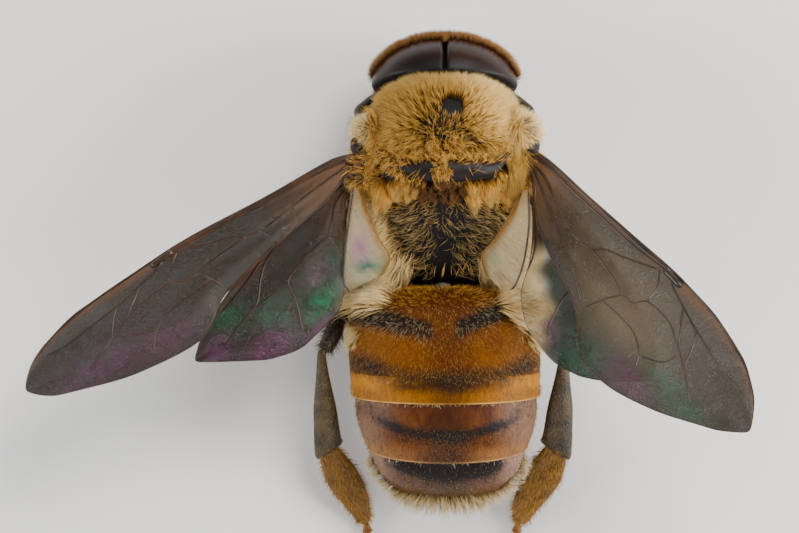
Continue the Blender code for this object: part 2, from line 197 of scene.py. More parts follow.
def plain_mesh(name, points, faces):
    mesh = bpy.data.meshes.new(name)
    count, corners = faces.shape
    mesh.vertices.add(len(points))
    mesh.vertices.foreach_set("co", np.asarray(points, np.float32).ravel())
    mesh.loops.add(count * corners)
    mesh.loops.foreach_set("vertex_index", np.asarray(faces, np.int32).ravel())
    mesh.polygons.add(count)
    mesh.polygons.foreach_set("loop_start", np.arange(0, count * corners, corners, dtype=np.int32))
    mesh.update(calc_edges=True)
    return mesh


def outward(points, faces):
    """A closed shape's triangles, turned to face outwards."""
    return faces if np.linalg.det(points[faces]).sum() > 0 else faces[:, ::-1]


def united(parts):
    """Several closed shapes as one, each facing outwards."""
    return joined([(points, outward(points, faces)) for points, faces in parts])


def piece(name, shape, material, replaces=(), attributes=None, uv=None, closed=True):
    """A shown piece from points in millimetres in the bee's frame."""
    points, faces = shape
    if closed:
        faces = outward(points, faces)
    mesh = plain_mesh(name, (points + SHIFT) * MM, faces)
    mesh.shade_smooth()
    for key, values in (attributes or {}).items():
        layer = mesh.attributes.new(key, "FLOAT", "POINT")
        layer.data.foreach_set("value", np.asarray(values, np.float32))
    if uv is not None:
        layer = mesh.uv_layers.new(name="OFBake")
        layer.data.foreach_set("uv", np.asarray(uv[faces.ravel()], np.float32).ravel())
    mesh.materials.append(material)
    thing = bpy.data.objects.new(name, mesh)
    bpy.context.scene.collection.objects.link(thing)
    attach(thing, "root")
    if replaces:
        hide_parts(*replaces)
    return thing


def remeshed(shape, voxel, relax):
    """The same shape as one even, unbroken skin. One unit is a millimetre here."""
    points, faces = shape
    thing = bpy.data.objects.new("remesh", plain_mesh("remesh", points, faces))
    bpy.context.scene.collection.objects.link(thing)
    remesh = thing.modifiers.new("voxels", "REMESH")
    remesh.mode = "VOXEL"
    remesh.voxel_size = voxel
    ease = thing.modifiers.new("ease", "SMOOTH")
    ease.factor = 0.5
    ease.iterations = relax
    ready = thing.evaluated_get(bpy.context.evaluated_depsgraph_get()).to_mesh()
    ready.calc_loop_triangles()
    found = np.empty(len(ready.vertices) * 3, np.float32)
    ready.vertices.foreach_get("co", found)
    corners = np.empty(len(ready.loop_triangles) * 3, np.int32)
    ready.loop_triangles.foreach_get("vertices", corners)
    bpy.data.objects.remove(thing, do_unlink=True)
    return found.reshape(-1, 3).astype(float), corners.reshape(-1, 3)


# ---------------------------------------------------------------- materials


def srgb(red, green, blue):
    """A linear colour from the 0 to 255 numbers that a screen shows."""
    channels = np.array((red, green, blue)) / 255
    linear = np.where(channels <= 0.04045, channels / 12.92, ((channels + 0.055) / 1.055) ** 2.4)
    return (*linear.tolist(), 1.0)


class Surface:
    """A Principled material and short words for the nodes that feed it."""

    def __init__(self, name, **values):
        self.material = bpy.data.materials.new(name)
        self.material.use_nodes = True
        self.tree = self.material.node_tree
        self.shader = self.tree.nodes["Principled BSDF"]
        for key, value in values.items():
            self.shader.inputs[key.replace("_", " ")].default_value = value

    def node(self, kind, inputs=None, **settings):
        made = self.tree.nodes.new("ShaderNode" + kind)
        for key, value in settings.items():
            setattr(made, key, value)
        for key, value in (inputs or {}).items():
            if isinstance(value, bpy.types.NodeSocket):
                self.tree.links.new(value, made.inputs[key])
            else:
                made.inputs[key].default_value = value
        return made

    def feed(self, key, socket):
        self.tree.links.new(socket, self.shader.inputs[key])

    def place(self):
        """Where a point is, in millimetres in the bee's frame."""
        spot = self.node("TexCoord").outputs["Object"]
        large = self.node("VectorMath", {0: spot, "Scale": 1 / MM}, operation="SCALE").outputs[0]
        return self.node("VectorMath", {0: large, 1: tuple(SHIFT)}, operation="SUBTRACT").outputs[0]

    def named(self, name):
        return self.node("Attribute", attribute_name=name).outputs["Fac"]

    def math(self, operation, a, b=0.0, clamp=False):
        return self.node("Math", {0: a, 1: b}, operation=operation, use_clamp=clamp).outputs[0]

    def noise(self, vector, scale, detail=3.0, roughness=0.55, distortion=0.0):
        made = self.node("TexNoise", {"Vector": vector, "Scale": scale, "Detail": detail,
                                      "Roughness": roughness, "Distortion": distortion})
        return made.outputs["Fac"]

    def cells(self, vector, scale):
        return self.node("TexVoronoi", {"Vector": vector, "Scale": scale}).outputs["Distance"]

    def ramp(self, factor, stops):
        made = self.node("ValToRGB", {"Fac": factor})
        stripe = made.color_ramp
        while len(stripe.elements) < len(stops):
            stripe.elements.new(0.5)
        for element, (spot, colour) in zip(stripe.elements, stops):
            element.position = spot
            element.color = colour if hasattr(colour, "__len__") else (colour, colour, colour, 1)
        return made.outputs["Color"]

    def mix(self, factor, a, b, blend="MIX"):
        made = self.node("Mix", {"Factor": factor}, data_type="RGBA", blend_type=blend)
        for socket, value in ((made.inputs[6], a), (made.inputs[7], b)):
            if isinstance(value, bpy.types.NodeSocket):
                self.tree.links.new(value, socket)
            else:
                socket.default_value = value
        return made.outputs[2]

    def bump(self, height, depth):
        return self.node("Bump", {"Height": height, "Distance": depth * MM}).outputs["Normal"]

    def blotched(self, place, scale, detail, dark, light):
        """Two shades in soft patches."""
        return self.ramp(self.noise(place, scale, detail), [(0.35, srgb(*dark)), (0.7, srgb(*light))])


def shell(name, dark, light, roughness=0.48, coat=0.03, specular=0.35, patches=2.0, pits=12.0,
          depth=0.014):
    """Hard shell in two shades, finely pitted."""
    s = Surface(name, Roughness=roughness, Coat_Weight=coat, Specular_IOR_Level=specular)
    place = s.place()
    s.feed("Base Color", s.blotched(place, patches, 4, dark, light))
    relief = s.math("ADD", s.cells(place, pits), s.noise(place, 2 * pits, 2))
    s.feed("Normal", s.bump(relief, depth))
    return s.material


SHELLS = {   # use: material name, dark and light colour as a screen shows them, then what differs
    "skin": ("body_cuticle", (3, 2, 2), (15, 10, 8), 0.60, 0.0, 0.25, 2.2, 14.0, 0.006),
    "limb": ("leg_cuticle", (36, 27, 12), (84, 65, 32)),
    "thigh": ("thigh_cuticle", (20, 13, 6), (50, 36, 18)),
    "foot": ("foot_cuticle", (84, 56, 12), (126, 88, 26)),
    "tarsus": ("tarsus_cuticle", (92, 48, 5), (142, 82, 16)),
    "claw": ("claw_horn", (48, 22, 12), (84, 44, 22)),
    "sclerite": ("sclerite_horn", (36, 18, 8), (92, 52, 20)),
    # painted highlight: the waist plate's grey stands for a highlight on dark cuticle
    "waist": ("waist_painted_highlight", (58, 52, 46), (92, 84, 76)),
    "jaw": ("jaw_horn", (70, 36, 18), (112, 62, 28)),
    "ocellus": ("ocellus_lens", (40, 22, 16), (86, 50, 30)),
}
HAIR_STOPS = (0.0, 0.5, 1.0)            # shares of a hair's length at its root, body and tip colours


def hair(name, pale, warm=None, tone=0.35):
    """Hair that is darker at its root, and varies from hair to hair. The attribute warm leads from the
    first (root, body, tip) colours to the second."""
    s = Surface(name, Roughness=0.55, Specular_IOR_Level=0.3)

    def along_hair(colours):
        stops = [(stop, srgb(*colour)) for stop, colour in zip(HAIR_STOPS, colours)]
        return s.ramp(s.named("along"), stops)

    colour = along_hair(pale)
    if warm:
        colour = s.mix(s.named("warm"), colour, along_hair(warm))
    shade = s.ramp(s.named("tone"), [(0.0, 1 - tone), (1.0, 1.0)])
    s.feed("Base Color", s.mix(1.0, colour, shade, "MULTIPLY"))
    return s.material


# ---------------------------------------------------------------- hair


def scatter(points, faces, count, weight):
    """Random places on a skin, denser where weight(place, normal) is higher, and the normals there."""
    faces = outward(points, faces)
    normal = normals_of(points, faces)
    corner = points[faces]
    middle = corner.mean(1)
    facing_way = unit(normal[faces].mean(1))
    share = face_areas(points, faces) * np.clip(weight(middle, facing_way), 0, None)
    if share.sum() <= 0:
        return np.zeros((0, 3)), np.zeros((0, 3))
    chosen = RANDOM.choice(len(faces), count, p=share / share.sum())
    a, b = RANDOM.random((2, count, 1))
    over = a + b > 1
    a, b = np.where(over, 1 - a, a), np.where(over, 1 - b, b)
    mixed = 1 - a - b
    place = corner[chosen, 0] * mixed + corner[chosen, 1] * a + corner[chosen, 2] * b
    up = normal[faces[chosen, 0]] * mixed + normal[faces[chosen, 1]] * a + normal[faces[chosen, 2]] * b
    return place, unit(up)


def strands(root, start, finish, length, width, rings=2, curl=0.08, clump=0, pull=0.0):
    """Tapering three-sided hairs. Each leaves its root along start and ends up along finish."""
    count = len(root)
    length = np.broadcast_to(length, count) * RANDOM.uniform(0.75, 1.15, count)
    width = np.broadcast_to(width, count) * RANDOM.uniform(0.8, 1.2, count)
    sideways = unit(np.cross(finish, RANDOM.normal(size=(count, 3))))
    other = unit(np.cross(finish, sideways))
    t = np.arange(rings + 1) / rings
    bend = (start[:, None] * t[None, :, None] + (finish - start)[:, None] * (t**1.7)[None, :, None] * 0.75)
    wave = RANDOM.normal(size=(count, 1, 1)) * curl * np.sin(t * 2.4)[None, :, None]
    line = root[:, None] - start[:, None] * ROOT_DEPTH
    line = line + length[:, None, None] * (bend + wave * sideways[:, None])
    if clump:
        line = line + gathered(root, line[:, -1], clump)[:, None] * (t**1.5)[None, :, None] * pull
    roll = RANDOM.uniform(0, 2 * np.pi, count)
    thin = np.clip(1 - t, 0, 1)[:-1] ** 0.6
    corners = []
    for k in range(3):
        angle = roll + k * 2 * np.pi / 3
        side = sideways * np.cos(angle)[:, None] + other * np.sin(angle)[:, None]
        corners.append(line[:, :-1] + side[:, None] * (0.5 * width[:, None] * thin[None])[..., None])
    body = np.stack(corners, 2)
    points = np.concatenate((body.reshape(count, -1, 3), line[:, -1:]), 1)
    per = points.shape[1]
    faces = (strand_faces(rings)[None] + (np.arange(count) * per)[:, None, None]).reshape(-1, 3)
    along = np.append(np.repeat(t[:-1], 3), 1.0)
    across = np.append(np.tile((-1.0, 0.0, 1.0), rings), 0.0)
    return {
        "points": points.reshape(-1, 3), "faces": faces, "count": count, "per": per,
        "along": np.tile(along, count), "across": np.tile(across, count), "root": root,
        "tone": np.repeat(RANDOM.random(count), per),
    }


def gathered(root, tips, clump):
    """How far each hair's tip is from that of its clump's chief, the chief hair nearest to its root."""
    count = len(root)
    chiefs = RANDOM.choice(count, max(count // clump, 1), replace=False)
    tree = KDTree(len(chiefs))
    for k, chief in enumerate(chiefs):
        tree.insert(root[chief], k)
    tree.balance()
    nearest = np.array([chiefs[tree.find(place)[1]] for place in root])
    return tips[nearest] - tips


def strand_faces(rings):
    """The triangles of one hair: its foot, its sides and its pointed end."""
    faces = [(0, 2, 1)]
    edges = ((0, 1), (1, 2), (2, 0))
    for low in range(0, 3 * rings - 3, 3):
        for a, b in edges:
            faces += [(low + a, low + b, low + b + 3), (low + a, low + b + 3, low + a + 3)]
    last = 3 * rings - 3
    faces += [(last + a, last + b, 3 * rings) for a, b in edges]
    return np.array(faces)


ROOT_DEPTH = 0.04       # how far a hair's foot lies below the skin


PATCH = 0.0015          # half the side of one hair's patch on the coat's map


def coat(name, locks, unwrap, material, slot, warm=None):
    """A coat piece from one or more sets of strands. unwrap(roots) gives each root's place on the skin's
    map, and warm, or warm(roots), how far each hair is towards its material's second colours."""
    points, faces = joined([(lock["points"], lock["faces"]) for lock in locks])
    gathered_up = lambda key: np.concatenate([lock[key] for lock in locks])
    along, across = gathered_up("along"), gathered_up("across")
    roots = np.concatenate([np.repeat(lock["root"], lock["per"], axis=0) for lock in locks])
    spot = 0.01 + 0.98 * np.clip(unwrap(roots), 0, 1)
    uv = spot + PATCH * np.column_stack((2 * along - 1, across))
    attributes = {"along": along, "tone": gathered_up("tone")}
    if warm is not None:
        attributes["warm"] = np.broadcast_to(warm(roots) if callable(warm) else warm, len(roots))
    print("COAT", name, len(faces), "triangles", sum(lock["count"] for lock in locks), "hairs")
    return piece(name, (points, faces), material, attributes=attributes, uv=uv, closed=False)


def leaning(normal, flow, lean):
    """Directions between the skin's normal and the lie of the coat."""
    return unit(normal * (1 - lean) + unit(flow) * lean)


# ---------------------------------------------------------------- body skin

# bare body under the coat, as (y, half width, top, widest level, bottom)
TRUNK = (
    (-4.30, 0.90, 5.45, 5.10, 4.90), (-4.10, 1.50, 5.85, 5.00, 4.72), (-3.80, 1.88, 6.06, 4.70, 4.20),
    (-3.50, 2.08, 6.20, 4.20, 2.40), (-3.10, 2.32, 6.30, 4.00, 1.75), (-2.40, 2.58, 6.38, 3.90, 1.45),
    (-1.60, 2.66, 6.20, 3.80, 1.35), (-1.10, 2.66, 5.85, 3.70, 1.35), (-0.60, 2.62, 5.62, 3.70, 1.35),
    (0.00, 2.55, 5.20, 3.60, 1.45), (0.80, 2.30, 4.58, 3.40, 1.75), (1.30, 2.00, 4.12, 3.30, 2.05),
    (1.65, 1.60, 3.76, 3.20, 2.35), (1.86, 1.40, 3.52, 3.15, 2.50), (2.09, 1.15, 3.30, 3.10, 2.60),
)
SUTURE = (-2.28, 0.13, 0.16)            # groove in front of the scutellum: place, width, depth
SPINE = (-0.62, 0.16, 0.10)             # groove behind it
HEAD_CENTRE = np.array((0, -4.42, 3.05))
HEAD_LEAN = math.radians(15)
CAPSULE = (1.84, 1.74, 1.12, 0.42)      # half width, half height, reach forward and back
CAPSULE_DROP = 0.12
EYES = (2.30, 1.92, 1.47, 0.50)
EYE_FOOT, EYE_REAR, EYE_PARTING = -1.40, -0.22, 0.02
FACE_CENTRE, FACE_HALF = np.array((0, -1.10, 1.60)), np.array((1.08, 1.46, 1.45))
SKIN_VOXEL, SKIN_EASE = 0.07, 4

# rounded lumps in the skin, as (middle, half sizes); those at the sides are for the left one
NECK = ((0, -4.35, 3.25, 0.46, 0.44), (0, -3.2, 3.35, 0.5, 0.5))
WAIST = ((0.04, 1.84, 3.18), (0.27, 0.40, 0.27))
CLYPEUS = ((0, -1.18, 0.50), (0.66, 0.60, 0.56))
FACE_RIDGE = ((0, -0.45, 0.72), (0.30, 0.36, 0.44))
FEELER_SOCKET = ((0.36, -0.38, 1.00), (0.17, 0.17, 0.14))
CHEEK = ((0.85, -1.55, 0.25), (0.36, 0.42, 0.42))
COXA_HALF = (0.42, 0.44, 0.48)
COXAE = ((0.62, -3.15, 1.75), (0.80, -1.50, 1.45), (0.85, 0.30, 1.55))
WING_LOBE = ((2.42, -2.95, 5.00), (0.42, 0.40, 0.50))
WING_SOCKET = ((2.52, -1.75, 4.85), (0.45, 0.55, 0.36))


def trunk_rings(rows, sides):
    y = np.linspace(TRUNK[0][0], TRUNK[-1][0], rows)
    half, top, level, bottom = smooth_curve(TRUNK)(y).T
    for place, width, depth in (SUTURE, SPINE):
        top = top - depth * bell(y, place, width)
    c, s = superellipse(sides)
    x = half[:, None] * c
    reach = np.where(s > 0, (top - level)[:, None], (level - bottom)[:, None])
    return np.stack((x, np.broadcast_to(y[:, None], x.shape), level[:, None] + reach * s), -1)


def head_axes():
    """Rows: sideways, up the face, and out of the face."""
    c, s = math.cos(HEAD_LEAN), math.sin(HEAD_LEAN)
    return np.array(((1, 0, 0), (0, -s, c), (0, -c, -s)))


def on_head(places):
    return HEAD_CENTRE + np.asarray(places, float) @ head_axes()


def in_head(points):
    return (points - HEAD_CENTRE) @ head_axes().T


def sphere(columns, rows):
    """Directions over a sphere whose poles lie on the third axis, and the triangles over them."""
    tilt = np.linspace(0, np.pi, rows + 2)[1:-1][:, None]
    turn = (2 * np.pi * np.arange(columns) / columns)[None]
    rings = np.stack((np.sin(tilt) * np.cos(turn), np.sin(tilt) * np.sin(turn),
                      np.broadcast_to(np.cos(tilt), (rows, columns))), -1)
    points, faces = capped(rings)
    points[-2:] = ((0, 0, 1), (0, 0, -1))
    return points, faces


def blob(centre, half, columns=28, rows=18):
    points, faces = sphere(columns, rows)
    return np.asarray(centre) + points * np.asarray(half), faces


def head_blob(centre, half, columns=28, rows=18):
    points, faces = blob(centre, half, columns, rows)
    return on_head(points), faces


def on_side(side, centre, half):
    """A lump of the left side on the given one."""
    x, y, z = centre
    return (side * x, y, z), half


def half_shell(directions, half):
    """How far out an ellipsoid with unlike front and back lies along directions in the head's frame."""
    half_u, half_v, front, back = half
    u, v, w = directions.T
    return 1 / np.sqrt((u / half_u) ** 2 + (v / half_v) ** 2 + (w / np.where(w > 0, front, back)) ** 2)


def capsule_shape():
    points, faces = sphere(72, 48)
    points = points * half_shell(points, CAPSULE)[:, None]
    points[:, 1] -= CAPSULE_DROP
    return on_head(points), faces


def body_skin():
    """Head, neck, thorax, waist and hips as one unbroken surface."""
    parts = [capped(trunk_rings(90, 72)), capsule_shape(), sweep(NECK, (0, 0, 1)), blob(*WAIST)]
    parts += [head_blob(*CLYPEUS), head_blob(*FACE_RIDGE)]
    for side in SIDES.values():
        parts += [head_blob(*on_side(side, *lump)) for lump in (FEELER_SOCKET, CHEEK)]
        lumps = [(place, COXA_HALF) for place in COXAE] + [WING_LOBE, WING_SOCKET]
        parts += [blob(*on_side(side, *lump)) for lump in lumps]
    return remeshed(united(parts), SKIN_VOXEL, SKIN_EASE)


def eye_skin(side):
    """One eye: it bulges to the eye's shape over its own ground, and hides in the head elsewhere."""
    directions, faces = sphere(220, 150)
    outer = directions * half_shell(directions, EYES)[:, None]
    u, v, w = outer.T
    face = (np.linalg.norm((outer - FACE_CENTRE) / FACE_HALF, axis=1) - 1) * 1.25
    ground = np.min((1.7 * (side * u - EYE_PARTING), v - EYE_FOOT, w - EYE_REAR, face), axis=0)
    border = np.clip(ground / 0.16, 0, 1)
    bulge = np.sqrt(1 - (1 - border) ** 2)
    inner = directions * (0.86 * half_shell(directions, CAPSULE))[:, None]
    return on_head(inner + (outer - inner) * bulge[:, None]), faces


def eye_shades(points):
    """Where an eye has painted shade, darkening towards the thorax where the fur shades it, and where a
    rust line borders its hairs.
    """
    local = in_head(points)
    steep = unit(local / np.array(EYES[:3]) ** 2) @ head_axes()[:, 2]
    # painted shade: marks the eye's rear next to the thorax fur, which is painted almost black and made
    # rougher
    rear = step_up(points[:, 1] - 0.13 * points[:, 0] ** 2, -5.40, -4.95)
    return {"rear": rear, "rust": bell(steep, 0.30, 0.10) * (local[:, 2] > 0.1)}


# ---------------------------------------------------------------- markings

BALD = (-0.20, -3.59, 0.31)             # the bare disc on the scutum: x, y, radius


def black_spots(x, y):
    """The two slanting black spots on the front of the abdomen."""
    left = bell(y, 2.80 + 0.25 * (2.6 - x), 0.36) * step_up(x, 0.15, 0.60) * step_up(3.1 - x, 0.0, 0.5)
    right = bell(y, 2.60 + 0.40 * (2.0 + x), 0.33) * step_up(-x, 0.15, 0.55) * step_up(2.35 + x, 0.0, 0.45)
    return np.clip(1.15 * (left + right), 0, 1)


def smoky_band(x, y):
    """The soft dark U across the second and third plates."""
    level = 4.92 - 0.62 * np.clip(np.abs(x + 0.05) / 2.9, 0, 1.2) ** 1.4
    strength = 0.42 + 0.40 * bell(np.abs(x), 2.4, 0.7) + 0.42 * bell(x, -0.1, 0.8)
    return np.clip(bell(y, level, 0.40) * strength, 0, 1)


def blue_band(x, y):
    """The thin blue-black U across the fourth plate."""
    level = 6.62 - 0.62 * np.clip(np.abs(x + 0.05) / 2.5, 0, 1.2) ** 1.7
    fade = 0.62 + 0.30 * bell(np.abs(x), 1.2, 0.9) + 0.3 * bell(x, -0.1, 0.7)
    line = 0.42 * bell(y, level + 0.34, 0.07) * bell(np.abs(x), 1.0, 0.8)
    corner = 0.40 * bell(y, 5.75, 0.40) * step_up(np.abs(x), 1.5, 2.4)
    band = bell(y, level, 0.20 + 0.08 * bell(x, -0.1, 0.8)) * fade * step_up(2.6 - np.abs(x), 0, 0.8)
    return np.clip(band + line + corner, 0, 1)


def black_band(x, y):
    """The broad black band across the fifth plate."""
    low = 8.12 - 0.42 * (np.abs(x + 0.08) / 1.8) ** 2
    return step_up(low - y, -0.14, 0.20) * step_up(y, 6.9, 7.2) * step_up(2.20 - np.abs(x + 0.08), 0, 0.80)


def spots_and_band(x, y):
    return np.maximum(black_spots(x, y), smoky_band(x, y))


PLATE_MARKS = (black_spots, spots_and_band, smoky_band, blue_band, black_band)


# ---------------------------------------------------------------- abdomen

# rings, as (y of the middle, z of the middle, tilt in degrees, half width, half height)
ABDOMEN = ((1.95, 3.10, -4, 2.35, 1.15), (2.20, 3.05, -3, 2.90, 1.62), (3.00, 2.95, 0, 3.08, 2.02),
           (4.00, 2.86, 3, 3.10, 2.18), (5.10, 2.78, 6, 3.04, 2.18), (6.20, 2.66, 12, 2.84, 2.06),
           (6.95, 2.50, 17, 2.58, 1.86), (7.60, 2.30, 24, 2.30, 1.44), (8.00, 2.14, 28, 1.98, 1.04),
           (8.20, 2.05, 29, 1.70, 0.80), (8.45, 1.96, 29, 1.10, 0.50))
ABDOMEN_SHIFT = -0.03                    # how far the abdomen veers to its right, per mm behind y = 4
ABDOMEN_SQUARENESS = 2.15
PLATE_ENDS = (2.05, 3.20, 4.72, 5.36, 6.95, 8.14)
PLATE_SCALE = (0.970, 0.972, 0.984, 0.985, 0.985)
PLATE_REST = (1.0, 0.997, 0.992, 0.968, 0.985)     # how much narrower each plate starts
ABDOMEN_AT = smooth_curve(ABDOMEN)


def abdomen_rings(run, scale, columns):
    """Rings round the abdomen at given runs along it."""
    height, tilt, half_width, half_height = ABDOMEN_AT(run).T[..., None]
    tilt = np.radians(tilt)
    run, scale = run[:, None], scale[:, None]
    c, s = superellipse(columns, ABDOMEN_SQUARENESS)
    belly = 1 - 0.035 * step_up(-s, 0.42, 0.50)
    x = ABDOMEN_SHIFT * np.maximum(run - 4, 0) + half_width * c * scale * belly
    up = half_height * s * scale * belly
    return np.stack((x, run + up * np.sin(tilt), height + up * np.cos(tilt)), -1)


def plate_shape(number, columns=160):
    """One tergite and its sternite: it comes out from under the plate in front and ends in a thin lip."""
    start, end = PLATE_ENDS[number], PLATE_ENDS[number + 1]
    first = start - (0.12 if number else 0)
    lip = end + np.array((-0.025, -0.008, 0, -0.004, -0.02))
    run = np.append(np.linspace(first, end - 0.05, 10 + round((end - start) * 14)), lip)
    climb = step_up(run, start - 0.1, start + 0.75) if number else np.ones_like(run)
    scale = PLATE_SCALE[number] * (PLATE_REST[number] + (1 - PLATE_REST[number]) * climb)
    if number > 1:
        scale = scale * (1 + 0.006 * step_up(run, end - 0.16, end - 0.05))
        scale = scale * (1 - 0.010 * step_up(run, end - 0.22, end) ** 2)
    scale[-5:] *= (1.0, 0.998, 0.992, 0.984, 0.975)
    if number == 0:
        scale = scale * (0.62 + 0.38 * np.sqrt(np.clip((run - first) / 0.55, 0, 1)))
    along = np.append(np.repeat(run, columns), (first, end))
    return capped(abdomen_rings(run, scale, columns)), along


def plate_shades(number, points, run):
    """Where a plate has its marking and its other shades."""
    x, y, z = points.T
    out = np.abs(x)
    end = PLATE_ENDS[number + 1]
    return {
        "band": PLATE_MARKS[number](x, y),
        "side": step_up(out, 1.3, 2.5) * step_up(z, 2.2, 3.2),
        "rear": step_up(run, end - 0.52, end - 0.22) * (step_up(out, 0.2, 1.5) if number > 2 else 1.0),
        "rim": (number > 1) * step_up(run, end - 0.055, end - 0.025)
               * (0.35 + 0.65 * step_up(out, 0.3, 1.4)),
        "middle": bell(x, -0.1, 0.85),
        "belly": step_up(-z, -2.35, -1.9),
    }


PLATE_SLOTS = ("cream_fur", "amber_cuticle", "grey_cuticle", "amber_cuticle", "grey_cuticle")


def build_plates():
    plates = []
    for number, slot in enumerate(PLATE_SLOTS):
        shape, run = plate_shape(number)
        shades = plate_shades(number, shape[0], run)
        piece(f"abdomen_plate_{number + 1}", shape, plate_material(number),
              [f"abdomen_{number + 1}"], shades)
        plates.append(shape)
    return plates


def tip_shape(columns=96):
    """The last, rounded rings, from which the fringe grows."""
    share = np.linspace(0, 1, 16)
    scale = 0.93 * np.sqrt(np.clip(1 - share**2.6, 0.002, 1))
    return capped(abdomen_rings(8.00 + 0.48 * share, scale, columns))


PLATE_COLOURS = (
    # main, patches, band, side, rear, middle, rim
    ((88, 44, 2), (74, 35, 2), (9, 7, 6), (96, 54, 6), (104, 56, 0), (72, 32, 1), (104, 54, 1)),
    ((116, 64, 0), (98, 50, 0), (34, 21, 8), (110, 64, 2), (96, 56, 3), (68, 27, 0), (130, 78, 20)),
    ((112, 70, 2), (90, 50, 1), (38, 24, 9), (186, 120, 6), (150, 94, 2), (66, 30, 1), (206, 158, 84)),
    ((104, 56, 14), (74, 34, 8), (17, 14, 14), (124, 90, 64), (138, 92, 48), (46, 17, 1), (190, 140, 84)),
    ((92, 60, 40), (64, 38, 24), (2, 2, 2), (150, 116, 98), (86, 46, 2), (48, 22, 1), (206, 150, 72)),
)


PLATE_SPECULAR = (0.10, 0.10, 0.12, 0.17, 0.20)


def plate_material(number):
    main, patches, band, side, rear, middle, rim = (srgb(*colour) for colour in PLATE_COLOURS[number])
    glossy = number > 1
    s = Surface(f"plate_{number + 1}", Roughness=0.46 if glossy else 0.6,
                Specular_IOR_Level=PLATE_SPECULAR[number])
    place = s.place()
    cloudy = s.noise(place, 1.6, 5, 0.6, 0.6)
    fine = s.noise(place, 9.0, 4, 0.65)
    pits = s.cells(place, 11.0)
    streaked = s.node("Mapping", {"Vector": place, "Scale": (2.6, 0.9, 1.0)}).outputs[0]
    streaks = s.noise(streaked, 3.2, 5, 0.62, 0.8)
    colour = s.mix(s.ramp(cloudy, [(0.38, 0.0), (0.66, 1.0)]), main, patches)
    colour = s.mix(s.named("side"), colour, side)
    colour = s.mix(s.named("rear"), colour, rear)
    colour = s.mix(s.math("MULTIPLY", s.named("middle"), 0.75), colour, middle)
    colour = s.mix(s.math("MULTIPLY", s.named("belly"), 0.8), colour, srgb(128, 92, 60))
    uneven = s.math("SUBTRACT", s.math("ADD", fine, cloudy), 1.0)
    worn = s.math("MULTIPLY", uneven, 1.15 if glossy else 0.75)
    ragged = s.math("ADD", s.named("band"), worn)
    colour = s.mix(s.ramp(ragged, [(0.20, 0.0), (0.80, 0.94)]), colour, band)
    dots = s.math("MULTIPLY", s.ramp(pits, [(0.16, 1.0), (0.30, 0.0)]), 0.5 if glossy else 0.3)
    colour = s.mix(dots, colour, srgb(46, 26, 14))
    colour = s.mix(0.55 if glossy else 0.25, colour,
                   s.ramp(streaks, [(0.30, srgb(120, 104, 96)), (0.62, srgb(255, 250, 244))]), "MULTIPLY")
    patchy = s.math("MULTIPLY", s.named("rim"), s.ramp(cloudy, [(0.35, 0.45), (0.55, 1.0)]))
    colour = s.mix(patchy, colour, rim)
    s.feed("Base Color", colour)
    relief = s.math("ADD", s.math("MULTIPLY", fine, 0.6), s.math("MULTIPLY", pits, 0.5))
    s.feed("Normal", s.bump(relief, 0.012 if glossy else 0.02))
    return s.material


# ---------------------------------------------------------------- wings

# in plan, x runs from root to tip and y towards the trailing edge
WINGS = {
    "forewing_left": {
        "root": (2.97, -1.94, 5.05), "heading": (0.823, 0.569),
        "rise": 0.02, "pitch": 0.42, "arch": 0.16,
        "lead": ((-0.30, -0.12), (0.45, -0.38), (2.5, -0.57), (6.5, -0.98), (9.5, -1.00), (11.0, -0.75),
                 (12.0, -0.36), (12.3, -0.20)),
        "trail": ((-0.30, 0.06), (0.45, 0.26), (1.0, 0.48), (3.5, 0.85), (5.5, 1.17), (6.4, 1.66),
                  (7.1, 1.92), (9.0, 1.67), (11.0, 1.02), (12.0, 0.60), (12.3, 0.42)),
    },
    "forewing_right": {
        "root": (-2.66, -2.09, 5.25), "heading": (-0.598, 0.765),
        "rise": 0.47, "pitch": 0.10, "arch": 0.14,
        "lead": ((-0.30, -0.16), (0.55, -0.42), (2.0, -0.64), (4.0, -0.99), (6.0, -1.33), (7.5, -1.42),
                 (9.0, -1.28), (10.0, -0.90), (10.95, -0.30)),
        "trail": ((-0.30, 0.08), (0.55, 0.34), (2.0, 1.22), (4.7, 1.92), (5.5, 2.44), (6.2, 2.76),
                  (7.0, 2.65), (8.5, 2.02), (10.0, 1.02), (10.95, 0.34)),
    },
    "hindwing_left": {
        "root": (3.06, -1.25, 4.35), "heading": (0.680, 0.733),
        "rise": 0.00, "pitch": 0.12, "arch": 0.08,
        "lead": ((-0.25, -0.10), (0.35, -0.24), (2.0, -0.42), (3.3, -0.46), (4.3, -0.48), (5.5, -0.36),
                 (6.5, -0.15), (7.25, 0.02)),
        "trail": ((-0.25, 0.10), (0.35, 0.30), (1.0, 0.90), (2.1, 1.90), (3.2, 2.50), (4.5, 2.45),
                  (5.5, 2.02), (6.5, 1.12), (7.25, 0.52)),
    },
    "hindwing_right": {
        "root": (-2.72, -1.56, 4.60), "heading": (-0.5405, 0.8413),
        "rise": 0.30, "pitch": 0.12, "arch": 0.08,
        "lead": ((-0.25, -0.12), (0.75, -0.38), (2.0, -0.60), (4.0, -0.62), (5.6, -0.45), (6.9, -0.20),
                 (7.3, -0.05)),
        "trail": ((-0.25, 0.12), (0.75, 0.50), (1.5, 0.95), (2.2, 1.50), (3.0, 2.35), (4.0, 2.70),
                  (5.0, 2.65), (5.9, 2.26), (6.6, 1.60), (7.3, 0.80)),
    },
}
TIP_ROUND = {"forewing": 0.75, "hindwing": 0.95}   # length over which a wing's tip rounds off
MEMBRANE = 0.03                          # thickness

